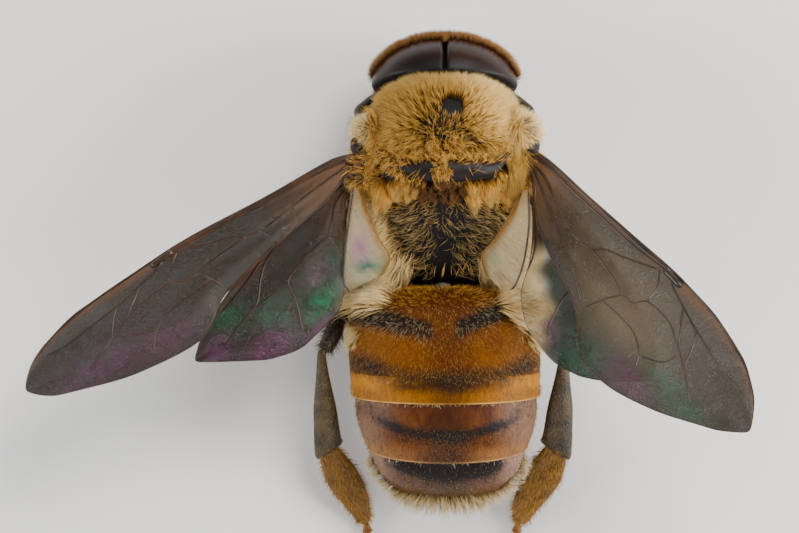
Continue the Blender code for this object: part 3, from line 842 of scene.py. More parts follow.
# veins on the left wings, as (half thickness, points) in those wings' own plan; the right ones follow by
# their share of the way from root to tip and from edge to edge
FORE_VEINS = (
    (0.070, ((-0.2, -0.08), (0.5, -0.36), (2.5, -0.55), (4.5, -0.76), (6.4, -0.95))),
    (0.050, ((-0.2, -0.02), (0.6, -0.24), (2.5, -0.44), (4.5, -0.66), (6.2, -0.88), (6.6, -0.93))),
    (0.036, ((6.4, -0.96), (8.5, -1.01), (10.5, -0.85), (11.5, -0.54))),
    (0.045, ((-0.1, 0.02), (1.2, 0.05), (2.5, 0.12), (3.45, 0.18))),
    (0.040, ((3.45, 0.18), (3.95, 0.05), (4.3, -0.19), (4.8, -0.36), (6.0, -0.80))),
    (0.036, ((3.45, 0.18), (3.38, 0.42), (3.20, 0.80))),
    (0.040, ((-0.1, 0.05), (0.5, 0.31), (1.0, 0.47), (1.5, 0.60), (2.5, 0.70), (3.5, 0.80), (4.5, 0.97),
             (5.5, 1.12))),
    (0.038, ((3.95, 0.05), (5.0, 0.06), (5.85, 0.16), (5.60, 0.52), (5.40, 1.00))),
    (0.034, ((5.85, 0.16), (6.3, 0.16), (6.6, -0.10), (7.5, -0.13), (8.5, 0.08), (9.2, 0.29),
             (10.4, 0.78))),
    (0.032, ((5.60, 0.52), (7.0, 0.60), (7.9, 0.87), (8.4, 1.48))),
    (0.032, ((7.9, 0.87), (8.65, 0.52), (8.75, 0.16))),
    (0.036, ((6.5, -0.90), (6.6, -0.78), (7.5, -0.60), (8.5, -0.47), (9.5, -0.40), (10.5, -0.34),
             (11.3, -0.44))),
    (0.032, ((6.0, -0.80), (6.45, -0.45), (6.6, -0.10))),
    (0.032, ((7.55, -0.60), (7.80, -0.40), (8.2, -0.15), (8.5, 0.08))),
    (0.032, ((8.5, -0.45), (8.85, -0.15), (9.2, 0.29))),
)
HIND_VEINS = (
    (0.045, ((-0.1, -0.04), (0.8, -0.24), (2.0, -0.38), (3.3, -0.38), (4.3, -0.25), (5.6, -0.16))),
    (0.040, ((-0.1, 0.00), (0.6, 0.10), (1.2, 0.45), (1.6, 0.62), (2.5, 0.58), (3.4, 0.66), (3.8, 1.39),
             (4.3, 2.10))),
    (0.036, ((2.4, -0.40), (3.5, -0.23), (4.0, 0.02), (4.77, 0.49), (5.5, 0.52), (6.45, 0.66))),
    (0.032, ((3.4, 0.66), (4.4, 0.56), (4.77, 0.49))),
    (0.042, ((-0.1, 0.02), (0.5, 0.48), (1.0, 0.80), (1.6, 1.34), (2.1, 1.77), (2.4, 2.12))),
    (0.030, ((1.6, 0.64), (1.64, 1.00), (1.7, 1.38))),
)
RIGHT_FOLDS = (         # two more lines on the right forewing, in its own plan
    (0.050, ((0.3, 0.12), (1.0, 0.34), (2.0, 0.66), (3.0, 0.93), (4.0, 1.34), (4.6, 1.64))),
    (0.045, ((0.4, 0.28), (2.0, 1.14), (3.2, 1.46), (4.6, 1.84))),
)
WING_SPOT = ((6.1, -0.86), (6.5, -0.87), (6.95, -0.86))     # the dark spot on a forewing's leading edge
SPOT_HALF = 0.11


class Wing:
    """The sheet of one wing, as places on it given by plan coordinates."""

    def __init__(self, name):
        spec = WINGS[name]
        self.kind, side = name.split("_")
        self.root = np.array(spec["root"], float)
        self.along = np.array((*spec["heading"], 0.0))
        self.back = np.array((-self.along[1], self.along[0], 0.0)) * SIDES[side]
        self.rise, self.pitch, self.arch = spec["rise"], spec["pitch"], spec["arch"]
        self.lead_at, self.trail_at = smooth_curve(spec["lead"]), smooth_curve(spec["trail"])
        self.start, self.end = spec["lead"][0][0], spec["lead"][-1][0]

    def edges(self, x):
        """The two edges at x, drawn together round the tip."""
        lead, trail = self.lead_at(x), self.trail_at(x)
        reach = np.clip((x - self.end) / TIP_ROUND[self.kind] + 1, 0, 1)
        middle, half = (lead + trail) / 2, (trail - lead) / 2 * np.sqrt(1 - reach**2 + 1e-6)
        return middle - half, middle + half

    def place(self, x, y, lift=0.0):
        x, y = np.asarray(x, float), np.asarray(y, float)
        lead, trail = self.lead_at(x), self.trail_at(x)
        t = np.clip((y - lead) / (trail - lead), -0.1, 1.1)
        outer = np.clip(x / 3, 0, 1)
        folds = 0.035 * np.sin(t * 15 + x * 0.5) * outer
        arched = self.arch * (1 - (2 * t - 1) ** 2) * outer
        height = self.rise * x + self.pitch * outer * y + arched + folds
        return (self.root + x[..., None] * self.along + y[..., None] * self.back
                + (height + lift)[..., None] * np.array((0, 0, 1.0)))


def wing_membrane(wing, columns=150, rows=44):
    """The closed thin sheet of a wing, with each point's plan coordinates and share of the chord."""
    x = wing.start + (wing.end - wing.start) * np.sin(np.linspace(0, 0.5 * np.pi, columns))
    lead, trail = wing.edges(x)
    over, sign = both_faces(rows)
    edge = np.sqrt(np.clip(np.minimum(over, 1 - over) / 0.03, 0.02, 1))
    y = lead[:, None] + (trail - lead)[:, None] * over
    xx = np.repeat(x[:, None], 2 * rows, 1)
    rings = wing.place(xx, y, 0.5 * MEMBRANE * sign * edge)
    points, faces = capped(rings)
    plan = np.column_stack((xx.ravel(), y.ravel(), np.tile(over, columns)))
    plan = np.concatenate((plan, [plan[:rows].mean(0)], [plan[-rows:].mean(0)]))
    return (points, faces), plan


def vein_line(wing, model, points, steps=6):
    """A vein's places on a wing, read from its plan on the left wing that models it."""
    x, y = smooth_line(points, steps * (len(points) - 1) + 1).T
    lead, trail = model.edges(x)
    share = (y - lead) / np.maximum(trail - lead, 1e-3)
    x = wing.start + (x - model.start) * (wing.end - wing.start) / (model.end - model.start)
    lead, trail = wing.edges(x)
    return wing.place(x, lead + share * (trail - lead))


def vein_tube(line, half, taper=0.75):
    """A tube along places that are already close together."""
    along = unit(np.gradient(line, axis=0))
    up = unit(np.array((0, 0, 1.0)) - along[:, 2:] * along)
    across = np.cross(up, along)
    share = np.linspace(0, 1, len(line))
    thick = half * (1 - (1 - taper) * share)
    thick[[0, -1]] *= 0.5
    c, s = superellipse(7)
    rings = line[:, None] + (across[:, None] * c[None, :, None] + up[:, None] * s[None, :, None]) \
        * thick[:, None, None]
    return capped(rings)


def wing_edge_tube(wing, half):
    """The thick leading edge and the fine rim round the rest of the wing."""
    x = wing.start + (wing.end - wing.start) * np.sin(np.linspace(0, 0.5 * np.pi, 90))
    lead, trail = wing.edges(x)
    front, rear = wing.place(x, lead), wing.place(x[::-1], trail[::-1])
    return [vein_tube(front, half, 0.3), vein_tube(rear, 0.014, 0.9)]


# painted reflection: the wings' thin-film iridescence, green and magenta, is painted into their colour
SHEEN = {   # green and then magenta patches on each wing, as (x, y, half length, half width, strength)
    "forewing_left": ((), ((10.2, 0.9, 2.0, 0.5, 0.5), (7.8, 1.3, 1.2, 0.5, 0.4))),
    "forewing_right": (((8.6, 1.2, 1.6, 0.5, 0.6), (6.4, 2.2, 0.8, 0.6, 0.6)),
                       ((7.2, 2.0, 1.2, 0.6, 0.5),)),
    "hindwing_left": (((3.2, 1.9, 0.9, 0.6, 1.0), (4.6, 1.4, 0.6, 0.7, 0.9), (1.9, 1.3, 0.5, 0.3, 0.7),
                       (5.6, 0.1, 0.6, 0.5, 0.9)),
                      ((5.4, 1.7, 1.1, 0.5, 1.0), (2.6, 1.3, 0.7, 0.3, 0.4), (3.9, 2.4, 0.8, 0.2, 0.6),
                       (6.5, 0.5, 0.5, 0.4, 0.8))),
    "hindwing_right": (((5.2, 2.0, 1.4, 0.7, 0.9), (3.2, 1.6, 0.8, 0.5, 0.6)),
                       ((4.1, 2.3, 0.9, 0.5, 0.9),)),
}


def sheen_mask(plan, patches):
    x, y = plan[:, 0], plan[:, 1]
    total = np.zeros(len(x))
    for px, py, length, width, strength in patches:
        total = np.maximum(total, strength * bell(x, px, length) * bell(y, py, width))
    return total


# painted light: the right forewing is painted paler along its middle, and where it lies over the hindwing
PAINTED_LIGHT_PATCHES = {"forewing_right": ((6.0, 0.0, 4.0, 1.5, 0.35), (5.8, 1.06, 2.0, 0.9, 0.6))}
SHEER = 0.78            # how much clearer the hindwings are over the body's side
SHEER_REACH = {"hindwing_left": 3.5, "hindwing_right": 3.45}


def over_fleece(name, points):
    """The part of a hindwing that lies over the pale fleece."""
    x, y, _ = points.T
    reach = SHEER_REACH.get(name, 0.0)
    ragged = 0.14 * np.sin(3.1 * y) + 0.07 * np.sin(7.3 * y + 1.0)
    return step_up(y, 0.35, 1.2) * step_up(reach + ragged - np.abs(x), 0, 0.65)


def membrane_material():
    s = Surface("wing_membrane", Roughness=0.34, Specular_IOR_Level=0.4, Coat_Weight=0.06,
                Coat_Roughness=0.15)
    place = s.place()
    cloudy = s.noise(place, 1.1, 4, 0.6, 0.4)
    mottle = s.ramp(s.noise(place, 3.6, 3, 0.6), [(0.35, 0.25), (0.6, 1.0)])
    green = s.math("MULTIPLY", s.named("green"), mottle)
    magenta = s.math("MULTIPLY", s.named("magenta"), mottle)
    colour = s.mix(s.ramp(cloudy, [(0.35, 0.0), (0.65, 1.0)]), srgb(22, 16, 9), srgb(46, 35, 22))
    colour = s.mix(s.named("gold"), colour, srgb(104, 64, 22))
    # painted light: the right forewing paler along its middle and over the hindwing
    colour = s.mix(s.named("pale"), colour, srgb(102, 88, 66))
    # painted reflection: mottled green and magenta iridescence painted into the membrane's colour
    colour = s.mix(green, colour, srgb(6, 88, 50))
    colour = s.mix(magenta, colour, srgb(98, 34, 80))
    s.feed("Base Color", colour)
    turned = {"Vector": place, "Scale": (1.0, 1.6, 1.0), "Rotation": (0, 0, 0.6)}
    ripple = s.noise(s.node("Mapping", turned).outputs[0], 8.0, 3.0, 0.5, 1.2)
    s.feed("Normal", s.bump(s.math("MULTIPLY", ripple, s.math("ADD", s.named("outer"), 0.35)), 0.10))
    dense = s.ramp(cloudy, [(0.3, 0.80), (0.7, 0.91)])
    dense = s.math("MAXIMUM", dense, s.math("MULTIPLY", green, 0.96))
    s.feed("Alpha", s.math("MULTIPLY", dense, s.math("SUBTRACT", 1.0, s.named("sheer"))))
    return s.material


def vein_material():
    s = Surface("vein", Roughness=0.4, Coat_Weight=0.2)
    s.feed("Base Color", s.blotched(s.place(), 1.2, 3, (26, 15, 7), (70, 42, 18)))
    return s.material


def wing_shades(name, wing, points, plan):
    """Where a wing has its painted iridescent sheen, its golden root and edge, its ripples, and its paler
    parts, which are painted light.
    """
    x, _, share = plan.T
    length = wing.end - wing.start
    green, magenta = SHEEN[name]
    golden = bell(share, 0.0, 0.07) * 0.8 + bell(x, wing.start, 0.16 * length) * 0.9
    if wing.kind == "hindwing":
        golden = golden + 0.8 * step_up(share, 0.72, 1.0) * bell(x, 0.5, 1.6)
    fleece = over_fleece(name, points)
    clear = 1 - 0.8 * fleece
    return {
        "green": clear * sheen_mask(plan, green), "magenta": clear * sheen_mask(plan, magenta),
        "gold": np.clip(golden, 0, 1), "sheer": SHEER * fleece,
        "outer": step_up(x, 0.45 * length, 0.8 * length),
        # painted light on the right forewing
        "pale": sum(sheen_mask(plan, [patch]) for patch in PAINTED_LIGHT_PATCHES.get(name, ())) + 0 * x,
    }


def build_wings():
    membrane, vein = membrane_material(), vein_material()
    wings = {name: Wing(name) for name in WINGS}
    for name, wing in wings.items():
        fore = wing.kind == "forewing"
        model = wings[wing.kind + "_left"]
        shape, plan = wing_membrane(wing)
        piece(f"membrane_{name}", shape, membrane, [name],
              wing_shades(name, wing, shape[0], plan))
        tubes = [vein_tube(vein_line(wing, model, points), half)
                 for half, points in (FORE_VEINS if fore else HIND_VEINS)]
        if fore:
            tubes.append(vein_tube(vein_line(wing, model, WING_SPOT, 5), SPOT_HALF, 1.0))
        if name == "forewing_right":
            tubes += [vein_tube(vein_line(wing, wing, points), half) for half, points in RIGHT_FOLDS]
        tubes += wing_edge_tube(wing, 0.055 if fore else 0.035)
        piece(f"veins_{name}", united(tubes), vein)
    build_lobes(vein)


LOBES = {   # the folded inner lobe of each hindwing: its outer vein, then its inner fold, as (x, y, z)
    "left": (((2.84, -1.20, 4.95), (2.98, -0.20, 5.02), (3.12, 0.90, 4.85), (3.18, 1.75, 4.50),
              (3.00, 2.08, 4.30)),
             ((2.62, -1.05, 5.05), (2.40, -0.35, 5.25), (2.05, 0.45, 5.20), (1.72, 1.05, 4.95),
              (1.95, 1.55, 4.70))),
    "right": (((-2.58, -1.10, 5.15), (-2.62, -0.22, 5.25), (-2.50, 0.94, 5.05), (-2.18, 1.90, 4.65),
               (-1.95, 2.12, 4.45)),
              ((-2.36, -1.05, 5.20), (-2.02, -0.30, 5.40), (-1.60, 0.40, 5.30), (-1.15, 1.02, 5.00),
               (-1.30, 1.60, 4.70))),
}


# painted reflection: iridescent green and pink painted on each lobe
LOBE_SHEEN = {   # colour on each lobe, green and then pink, as (x, y, half length, half width, strength)
    "left": (((2.45, 1.30, 0.60, 0.34, 1.0),), ((2.65, 0.72, 0.34, 0.50, 0.8),)),
    "right": (((-1.60, 1.10, 0.30, 0.30, 0.4),), ((-2.45, 1.55, 0.30, 0.30, 0.5),)),
}


def lobe_material():
    s = Surface("wing_lobe", Roughness=0.30, Specular_IOR_Level=0.25)
    place = s.place()
    gold = s.named("gold")
    uneven = s.ramp(s.noise(place, 3.0, 3, 0.6), [(0.25, 0.4), (0.5, 1.0)])
    green = s.math("MULTIPLY", s.named("green"), uneven)
    pink = s.math("MULTIPLY", s.named("pink"), uneven)
    colour = s.mix(gold, srgb(208, 194, 156), srgb(132, 96, 40))
    # painted reflection: iridescent green and pink painted into the lobe's colour
    colour = s.mix(green, colour, srgb(30, 96, 66))
    colour = s.mix(pink, colour, srgb(134, 62, 116))
    s.feed("Base Color", colour)
    s.feed("Normal", s.bump(s.noise(place, 6.0, 3), 0.05))
    painted_sheen = s.math("MULTIPLY", s.math("ADD", green, pink), 0.75)
    dense = s.math("ADD", s.math("MULTIPLY", gold, 0.50), painted_sheen)
    s.feed("Alpha", s.math("ADD", dense, 0.12, clamp=True))
    return s.material


def build_lobes(vein, columns=40, rows=16):
    """The hindwings' inner lobes, each a thin sheet between a dark vein and a golden fold."""
    material = lobe_material()
    golden = Surface("wing_fold", Base_Color=srgb(122, 84, 34), Roughness=0.5, Specular_IOR_Level=0.3)
    over, sign = both_faces(rows)
    for name, (outer, inner) in LOBES.items():
        rim, fold = smooth_line(outer, columns), smooth_line(inner, columns)
        sheet = fold[:, None] * (1 - over)[None, :, None] + rim[:, None] * over[None, :, None]
        sheet[..., 2] += 0.16 * np.sin(np.pi * over) + 0.03 * np.sin(9 * over) + 0.4 * MEMBRANE * sign
        gold = bell(over, 0.0, 0.22)[None] + 0.8 * bell(np.linspace(0, 1, columns), 0.0, 0.36)[:, None]
        plan = sheet.reshape(-1, 3)[:, :2]
        green, pink = (np.append(sheen_mask(plan, patches), (0.0, 0.0)) for patches in LOBE_SHEEN[name])
        shades = {"gold": np.append(np.clip(gold, 0, 1).ravel(), (1.0, 0.4)), "green": green, "pink": pink}
        piece(f"lobe_hindwing_{name}", capped(sheet), material, attributes=shades)
        piece(f"vein_lobe_{name}", vein_tube(rim, 0.042), vein)
        piece(f"fold_lobe_{name}", vein_tube(fold, 0.030), golden.material)


SCLERITES = (       # small hard plates by the left wings' hinges, as (middle, half sizes)
    ((2.92, -2.05, 5.12), (0.20, 0.17, 0.12)), ((2.70, -1.86, 5.22), (0.16, 0.20, 0.12)),
    ((2.96, -1.62, 4.92), (0.19, 0.18, 0.12)), ((2.98, -1.28, 4.62), (0.17, 0.20, 0.12)),
    ((2.66, -1.42, 5.00), (0.14, 0.22, 0.12)),
)


def build_sclerites(material):
    for name, side in {"left": 1, "right": -0.96}.items():
        lumps = [blob(*on_side(side, *lump), 24, 14) for lump in SCLERITES]
        piece(f"wing_sclerites_{name}", united(lumps), material)


# ---------------------------------------------------------------- legs

PAD = 0.20
LEGS = {    # stations (x, y, z, half width, half depth) from the body outwards, for the left side
    "front": {
        "femur": ((0.85, -3.15, 1.20, 0.30, 0.28), (1.55, -3.10, 1.22, 0.30, 0.28),
                  (2.28, -3.04, 2.00, 0.32, 0.29), (2.70, -3.08, 2.84, 0.27, 0.27)),
        "tibia": ((2.72, -3.56, 2.33, 0.26, 0.26), (2.40, -3.82, 1.92, 0.28, 0.26),
                  (2.08, -4.06, 1.28, 0.28, 0.26)),
        "foot": ((2.00, -4.25, 0.88, 0.27, 0.25), (1.93, -4.48, 0.41, 0.26, 0.25),
                 (1.83, -4.78, PAD, 0.26, 0.25), (1.58, -5.26, PAD, 0.25, 0.25)),
    },
    "mid": {
        "femur": ((1.05, -1.50, 0.98, 0.30, 0.28), (1.75, -1.45, 1.02, 0.32, 0.28),
                  (2.45, -1.35, 1.62, 0.34, 0.28), (2.88, -1.25, 2.20, 0.28, 0.26)),
        "tibia": ((2.95, -0.78, 1.98, 0.26, 0.25), (2.90, -0.20, 1.48, 0.32, 0.27),
                  (2.80, 0.42, 0.92, 0.32, 0.26)),
        "foot": ((2.78, 0.76, 0.66, 0.28, 0.25), (2.74, 1.25, 0.30, 0.27, 0.25),
                 (2.70, 1.70, PAD, 0.26, 0.25), (2.62, 2.70, PAD, 0.25, 0.25)),
    },
    "hind": {
        "femur": ((1.15, 0.50, 1.05, 0.34, 0.30), (1.95, 1.00, 0.98, 0.36, 0.30),
                  (3.05, 2.35, 1.60, 0.40, 0.32), (3.66, 3.72, 2.55, 0.34, 0.30)),
        "tibia": ((3.88, 4.10, 2.62, 0.27, 0.25), (3.82, 5.20, 2.30, 0.40, 0.26),
                  (3.74, 6.30, 1.90, 0.50, 0.27), (3.68, 6.95, 1.62, 0.54, 0.27)),
        "foot": ((3.56, 7.32, 1.44, 0.56, 0.26), (3.26, 7.95, 1.06, 0.70, 0.27),
                 (2.84, 8.70, 0.58, 0.58, 0.26), (2.54, 9.28, 0.30, 0.27, 0.25),
                 (2.44, 9.75, PAD, 0.26, 0.25), (2.34, 10.75, PAD, 0.25, 0.25)),
    },
}
STANCE = {"hind_right": (0.12, 1.12)}    # how far a leg lies inward, and how broadly it shows
FLAT_SIDE = {
    "front": {"femur": (0.2, -1.0, 0.5), "tibia": (1.0, 0.0, 0.2), "foot": (1.0, 0.0, 0.2)},
    "mid": {"femur": (0.0, -1.0, 0.3), "tibia": (1.0, 0.0, 0.2), "foot": (1.0, 0.0, 0.2)},
    "hind": {"femur": (0.35, 0.0, 1.0), "tibia": (0.35, 0.0, 1.0), "foot": (0.35, 0.0, 1.0)},
}
TIBIA_SLANT = 0.46                       # how far the hind tibia's end slants, per mm of its breadth
JOINT_LAP, HIND_FOOT_LAP = 0.07, 0.26    # how far members reach past the joint between them
SLIM = {"femur": 0.78, "tibia": 0.84, "foot": 0.80}      # the bare limb's share of the haired one


def club(share):
    """How a tibia widens from its knee and ends in an oblique, slightly flared edge."""
    return 0.62 + 0.38 * step_up(share, 0.10, 0.62) + 0.06 * bell(share, 0.97, 0.04)


def paddle(share):
    """How a basitarsus swells from its joint and narrows again."""
    return 0.80 + 0.20 * np.sin(np.pi * np.clip(share, 0, 1)) ** 0.8


def leg_stations(pair, side_name):
    """Each member's stations, run on to the joints that it shares with its neighbours."""
    side = SIDES[side_name]
    inward, broad = STANCE.get(f"{pair}_{side_name}", (0.0, 1.0))
    members = {}
    for member, rows in LEGS[pair].items():
        table = np.array(rows, float)
        table[:, 0] = (table[:, 0] - inward) * side
        table[:, 3] *= broad
        table[:, 3:] *= SLIM[member]
        members[member] = table
    order = list(members)
    for near, far in zip(order, order[1:]):
        joint = (members[near][-1, :3] + members[far][0, :3]) / 2
        along = unit(members[far][0, :3] - members[near][-1, :3])
        for member, where in ((near, len(members[near])), (far, 0)):
            table = members[member]
            end = table[-1 if where else 0].copy()
            lap = HIND_FOOT_LAP if (pair, member) == ("hind", "foot") else JOINT_LAP
            end[:3] = joint + along * (lap if where else -lap)
            end[3:] *= (0.88, 0.80) if where else (0.66, 0.60)
            members[member] = np.insert(table, where, end, axis=0)
    return members


TARSUS_HALF = 0.17


def tarsus_beads(t):
    """How the four small segments of a foot swell one after the other, the last of them most evenly."""
    part = (t * 4) % 1
    last = step_up(t, 0.70, 0.80)
    even = 0.6 + 0.35 * np.sin(np.clip(part, 0, 1) * np.pi)
    return (0.55 + 0.45 * part**1.4) * (1 - last) + last * even


def claw_shapes(tip, ahead):
    """The two curved claws at the end of a foot."""
    across = unit(np.cross(ahead, (0, 0, 1.0)))
    hooks = []
    for way in (1, -1):
        spread = unit(ahead + 0.9 * way * across)
        line = [tip + ahead * 0.02]
        for reach, rise in ((0.16, 0.02), (0.30, -0.03), (0.36, -0.13)):
            line.append(tip + spread * reach + np.array((0, 0, rise)))
        thick = (0.05, 0.045, 0.03, 0.01)
        hooks.append(sweep([(*p, r, r) for p, r in zip(line, thick)], (0, 0, 1), 8, 12))
    return hooks


def foot_parts(table, flat_side):
    """The broad first segment of a foot, the four small ones, and the claws."""
    hind = len(table) > 5
    cut = len(table) - 2 if hind else 3
    broad, rest = table[:cut].copy(), table[cut - 1:].copy()
    if hind:
        rest[0, :3] = rest[0, :3] * 0.55 + rest[1, :3] * 0.45
        broad[-1, 3:] *= 1.15
    broad[-1, :3] = rest[0, :3]
    rest[:, 3:] = TARSUS_HALF
    rest[-1, :3] += (rest[-2, :3] - rest[-1, :3]) * 0.10
    small = sweep(rest, flat_side, 14, 44, profile=tarsus_beads)
    tip, ahead = rest[-1, :3], unit(rest[-1, :3] - rest[-2, :3])
    pad = blob(tip + ahead * 0.16 + np.array((0, 0, -0.04)), (0.11, 0.11, 0.05), 14, 8)
    return sweep(broad, flat_side, 22, 44, profile=paddle), small, claw_shapes(tip, ahead), pad


def slanted(shape, side):
    """A hind tibia whose outer edge reaches further down than its inner one."""
    points, faces = shape
    x, y, _ = points.T
    low, high = y.min(), y.max()
    end = step_up(y, high - 0.30 * (high - low), high - 0.05)
    middle = x[y > high - 0.3].mean()
    moved = points.copy()
    moved[:, 1] += TIBIA_SLANT * side * (x - middle) * end
    return moved, faces


def build_legs(materials):
    """All the legs. Returns what each pair's coat grows on, as (shape, member)."""
    grown = {pair: [] for pair in LEGS}
    for pair, on_pair in grown.items():
        for side_name, side in SIDES.items():
            stations = leg_stations(pair, side_name)
            mirror = np.array((side, 1, 1))
            for member in ("femur", "tibia"):
                name = f"{pair}_{member}_{side_name}"
                shape = sweep(stations[member], FLAT_SIDE[pair][member] * mirror, 22, 60, ends=0.5,
                              profile=club if member == "tibia" else None)
                cover = materials["thigh"]
                if (pair, member) == ("hind", "tibia"):
                    shape, cover = slanted(shape, side), materials["limb"]
                piece(f"{name}_shell", shape, cover, [name])
                on_pair.append((shape, member))
            broad, small, hooks, pad = foot_parts(stations["foot"], FLAT_SIDE[pair]["foot"] * mirror)
            piece(f"{pair}_basitarsus_{side_name}", broad, materials["foot"],
                  [f"{pair}_foot_{side_name}"])
            piece(f"{pair}_tarsus_{side_name}", joined([small, pad]), materials["tarsus"])
            piece(f"{pair}_claws_{side_name}", united(hooks), materials["claw"])
            on_pair += [(broad, "foot"), (small, "tarsus")]
    return grown


# ---------------------------------------------------------------- face

FEELER = ((0.36, -0.35, 1.10), (0.40, -0.62, 1.42), (0.52, -0.98, 1.56), (0.80, -1.52, 1.40),
          (1.14, -2.04, 0.94), (1.38, -2.34, 0.40))
FEELER_HALF = 0.145
JAW = ((0.62, -1.78, 0.42), (0.58, -2.08, 0.50), (0.40, -2.34, 0.50), (0.16, -2.46, 0.44))
JAW_HALF = ((0.20, 0.16), (0.19, 0.14), (0.16, 0.11), (0.07, 0.05))
OCELLI = ((0, 0.46, 1.02), (0.24, 0.20, 1.08), (-0.24, 0.20, 1.08))
OCELLUS_HALF = (0.14, 0.14, 0.12)
LABRUM = ((0, -1.84, 0.60), (0.40, 0.20, 0.10))
TONGUE = ((0, -4.0, 1.08, 0.13, 0.13), (0, -3.4, 0.92, 0.12, 0.12), (0, -2.62, 0.76, 0.07, 0.07))
TONGUE_SHEATH = ((0.16, -3.95, 1.02, 0.11, 0.09), (0.096, -3.35, 0.86, 0.13, 0.08),
                 (0.064, -2.75, 0.80, 0.07, 0.05))
FEELER_END = ((1.44, -3.70, 0.60), (1.34, -2.78, 0.56))
SCAPE = 0.27                             # share of the feeler's length that is the scape
FEELER_SEGMENTS = 11


def feeler_profile(t):
    """The scape's narrow foot, the two necks after it, and the rings between the other segments."""
    shaft = 0.72 + 0.28 * step_up(t, 0.02, 0.10)
    neck = 1 - 0.45 * bell(t, SCAPE, 0.012) - 0.35 * bell(t, SCAPE + 0.045, 0.010)
    part = ((t - SCAPE - 0.045) / (1 - SCAPE - 0.045) * FEELER_SEGMENTS) % 1
    rings = np.where(t > SCAPE + 0.05, 1 - 0.16 * bell(part, 0, 0.10) - 0.16 * bell(part, 1, 0.10), 1.0)
    return shaft * neck * rings


def feeler_shape(side):
    mirror = np.array((side, 1, 1))
    path = np.concatenate((on_head(FEELER * mirror), FEELER_END * mirror))
    stations = [(*point, FEELER_HALF, FEELER_HALF) for point in path]
    return sweep(stations, (0, 0.2, 1), 18, 190, profile=feeler_profile)


def tongue_parts():
    """The tongue, between its two sheaths."""
    parts = []
    for side in SIDES.values():
        rows = [(side * x, *rest) for x, *rest in TONGUE_SHEATH]
        parts.append(sweep(rows, (0, 0, 1), 14, 20))
    return parts + [sweep(TONGUE, (0, 0, 1), 14, 24)]


def build_face(materials):
    for name, side in SIDES.items():
        eye = eye_skin(side)
        piece(f"eye_{name}_shell", eye, materials["eye"], [f"eye_{name}"], eye_shades(eye[0]))
        piece(f"antenna_{name}_shell", feeler_shape(side), materials["limb"],
              [f"antenna_{name}"])
        rows = np.column_stack((on_head(JAW * np.array((side, 1, 1))), JAW_HALF))
        piece(f"mandible_{name}_shell", sweep(rows, head_axes()[2], 16, 20), materials["jaw"],
              [f"mandible_{name}"])
    beads = [head_blob(place, OCELLUS_HALF, 20, 12) for place in OCELLI]
    piece("ocelli", joined(beads), materials["ocellus"])
    piece("labrum", head_blob(*LABRUM, 24, 14), materials["jaw"])
    piece("tongue", united(tongue_parts()), materials["limb"], ["proboscis"])


# ---------------------------------------------------------------- plates on the thorax

# as (x, y, z, half width, half depth)
SCUTELLUM = (
    (2.12, -2.48, 5.50, 0.19, 0.12), (1.72, -2.05, 5.98, 0.20, 0.13), (1.25, -1.76, 6.25, 0.26, 0.16),
    (0.60, -1.68, 6.40, 0.33, 0.20), (-0.15, -1.66, 6.44, 0.34, 0.21), (-0.90, -1.68, 6.40, 0.31, 0.19),
    (-1.40, -1.74, 6.23, 0.24, 0.15), (-1.74, -2.05, 5.95, 0.19, 0.12), (-1.96, -2.44, 5.53, 0.17, 0.11),
)
TEGULA_CENTRE, TEGULA_HALF = (2.72, -2.48, 5.22), (0.24, 0.33, 0.16)
TEGULA_CUP = 0.03                        # how deep the tegula's upper face is hollowed
# painted highlight: the small plate over the waist is painted grey, as a highlight on the dark waist
WAIST_PLATE = ((0.06, 1.93, 3.52), (0.26, 0.15, 0.10))      # the small grey plate over the waist


def build_thorax_plates(materials):
    bar = sweep(SCUTELLUM, (0, 0.15, 1.0), 26, 60)
    piece("scutellum_shell", bar, materials["gloss"], ["scutellum"])
    x, y, z = TEGULA_CENTRE
    for name, side in SIDES.items():
        points, faces = blob((side * x, y, z), TEGULA_HALF, 36, 22)
        cup = bell(np.hypot(points[:, 0] - side * (x - 0.05), points[:, 1] - y), 0, 0.16)
        points[:, 2] -= TEGULA_CUP * cup * (points[:, 2] > z)
        piece(f"tegula_{name}_shell", (points, faces), materials["gloss"],
              [f"tegula_{name}"])
    piece("waist_plate", blob(*WAIST_PLATE, 24, 14), materials["waist"])
    return bar


# ---------------------------------------------------------------- hard materials


def eye_material():
    s = Surface("compound_eye", Coat_Weight=0.04, Coat_Roughness=0.22, Specular_IOR_Level=0.25)
    place = s.place()
    colour = s.blotched(place, 0.8, 3, (25, 14, 11), (42, 26, 21))
    colour = s.mix(s.named("rust"), colour, srgb(70, 32, 8))
    # painted shade: the eye turns almost black towards the thorax, where the fur shades it
    colour = s.mix(s.named("rear"), colour, srgb(9, 6, 6))
    s.feed("Base Color", colour)
    s.feed("Roughness", s.math("ADD", s.math("MULTIPLY", s.named("rear"), 0.30), 0.28))
    s.feed("Normal", s.bump(s.cells(place, 30.0), 0.0035))
    return s.material


def gloss_material():
    s = Surface("polished_shell", Roughness=0.50, Specular_IOR_Level=0.30)
    place = s.place()
    s.feed("Base Color", s.blotched(place, 1.6, 4, (9, 5, 5), (30, 16, 14)))
    s.feed("Normal", s.bump(s.noise(place, 14.0, 3), 0.010))
    return s.material


# ---------------------------------------------------------------- stage

VIEW_CENTRE = (1.42, 1.30, 4.5)          # what the camera looks straight down on
VIEW_WIDTH = 25.0
LENS, SENSOR = 300.0, 36.0


def bee_point(x, y, z):
    return Vector((np.array((x, y, z)) + SHIFT) * MM)


def add_camera():
    data = bpy.data.cameras.new("camera")
    data.lens, data.sensor_width = LENS, SENSOR
    data.clip_start, data.clip_end = 0.001, 5.0
    camera = bpy.data.objects.new("camera", data)
    x, y, z = VIEW_CENTRE
    camera.location = bee_point(x, y, z + VIEW_WIDTH * LENS / SENSOR)
    camera.rotation_euler = (0, 0, math.pi)
    bpy.context.scene.collection.objects.link(camera)
    bpy.context.scene.camera = camera


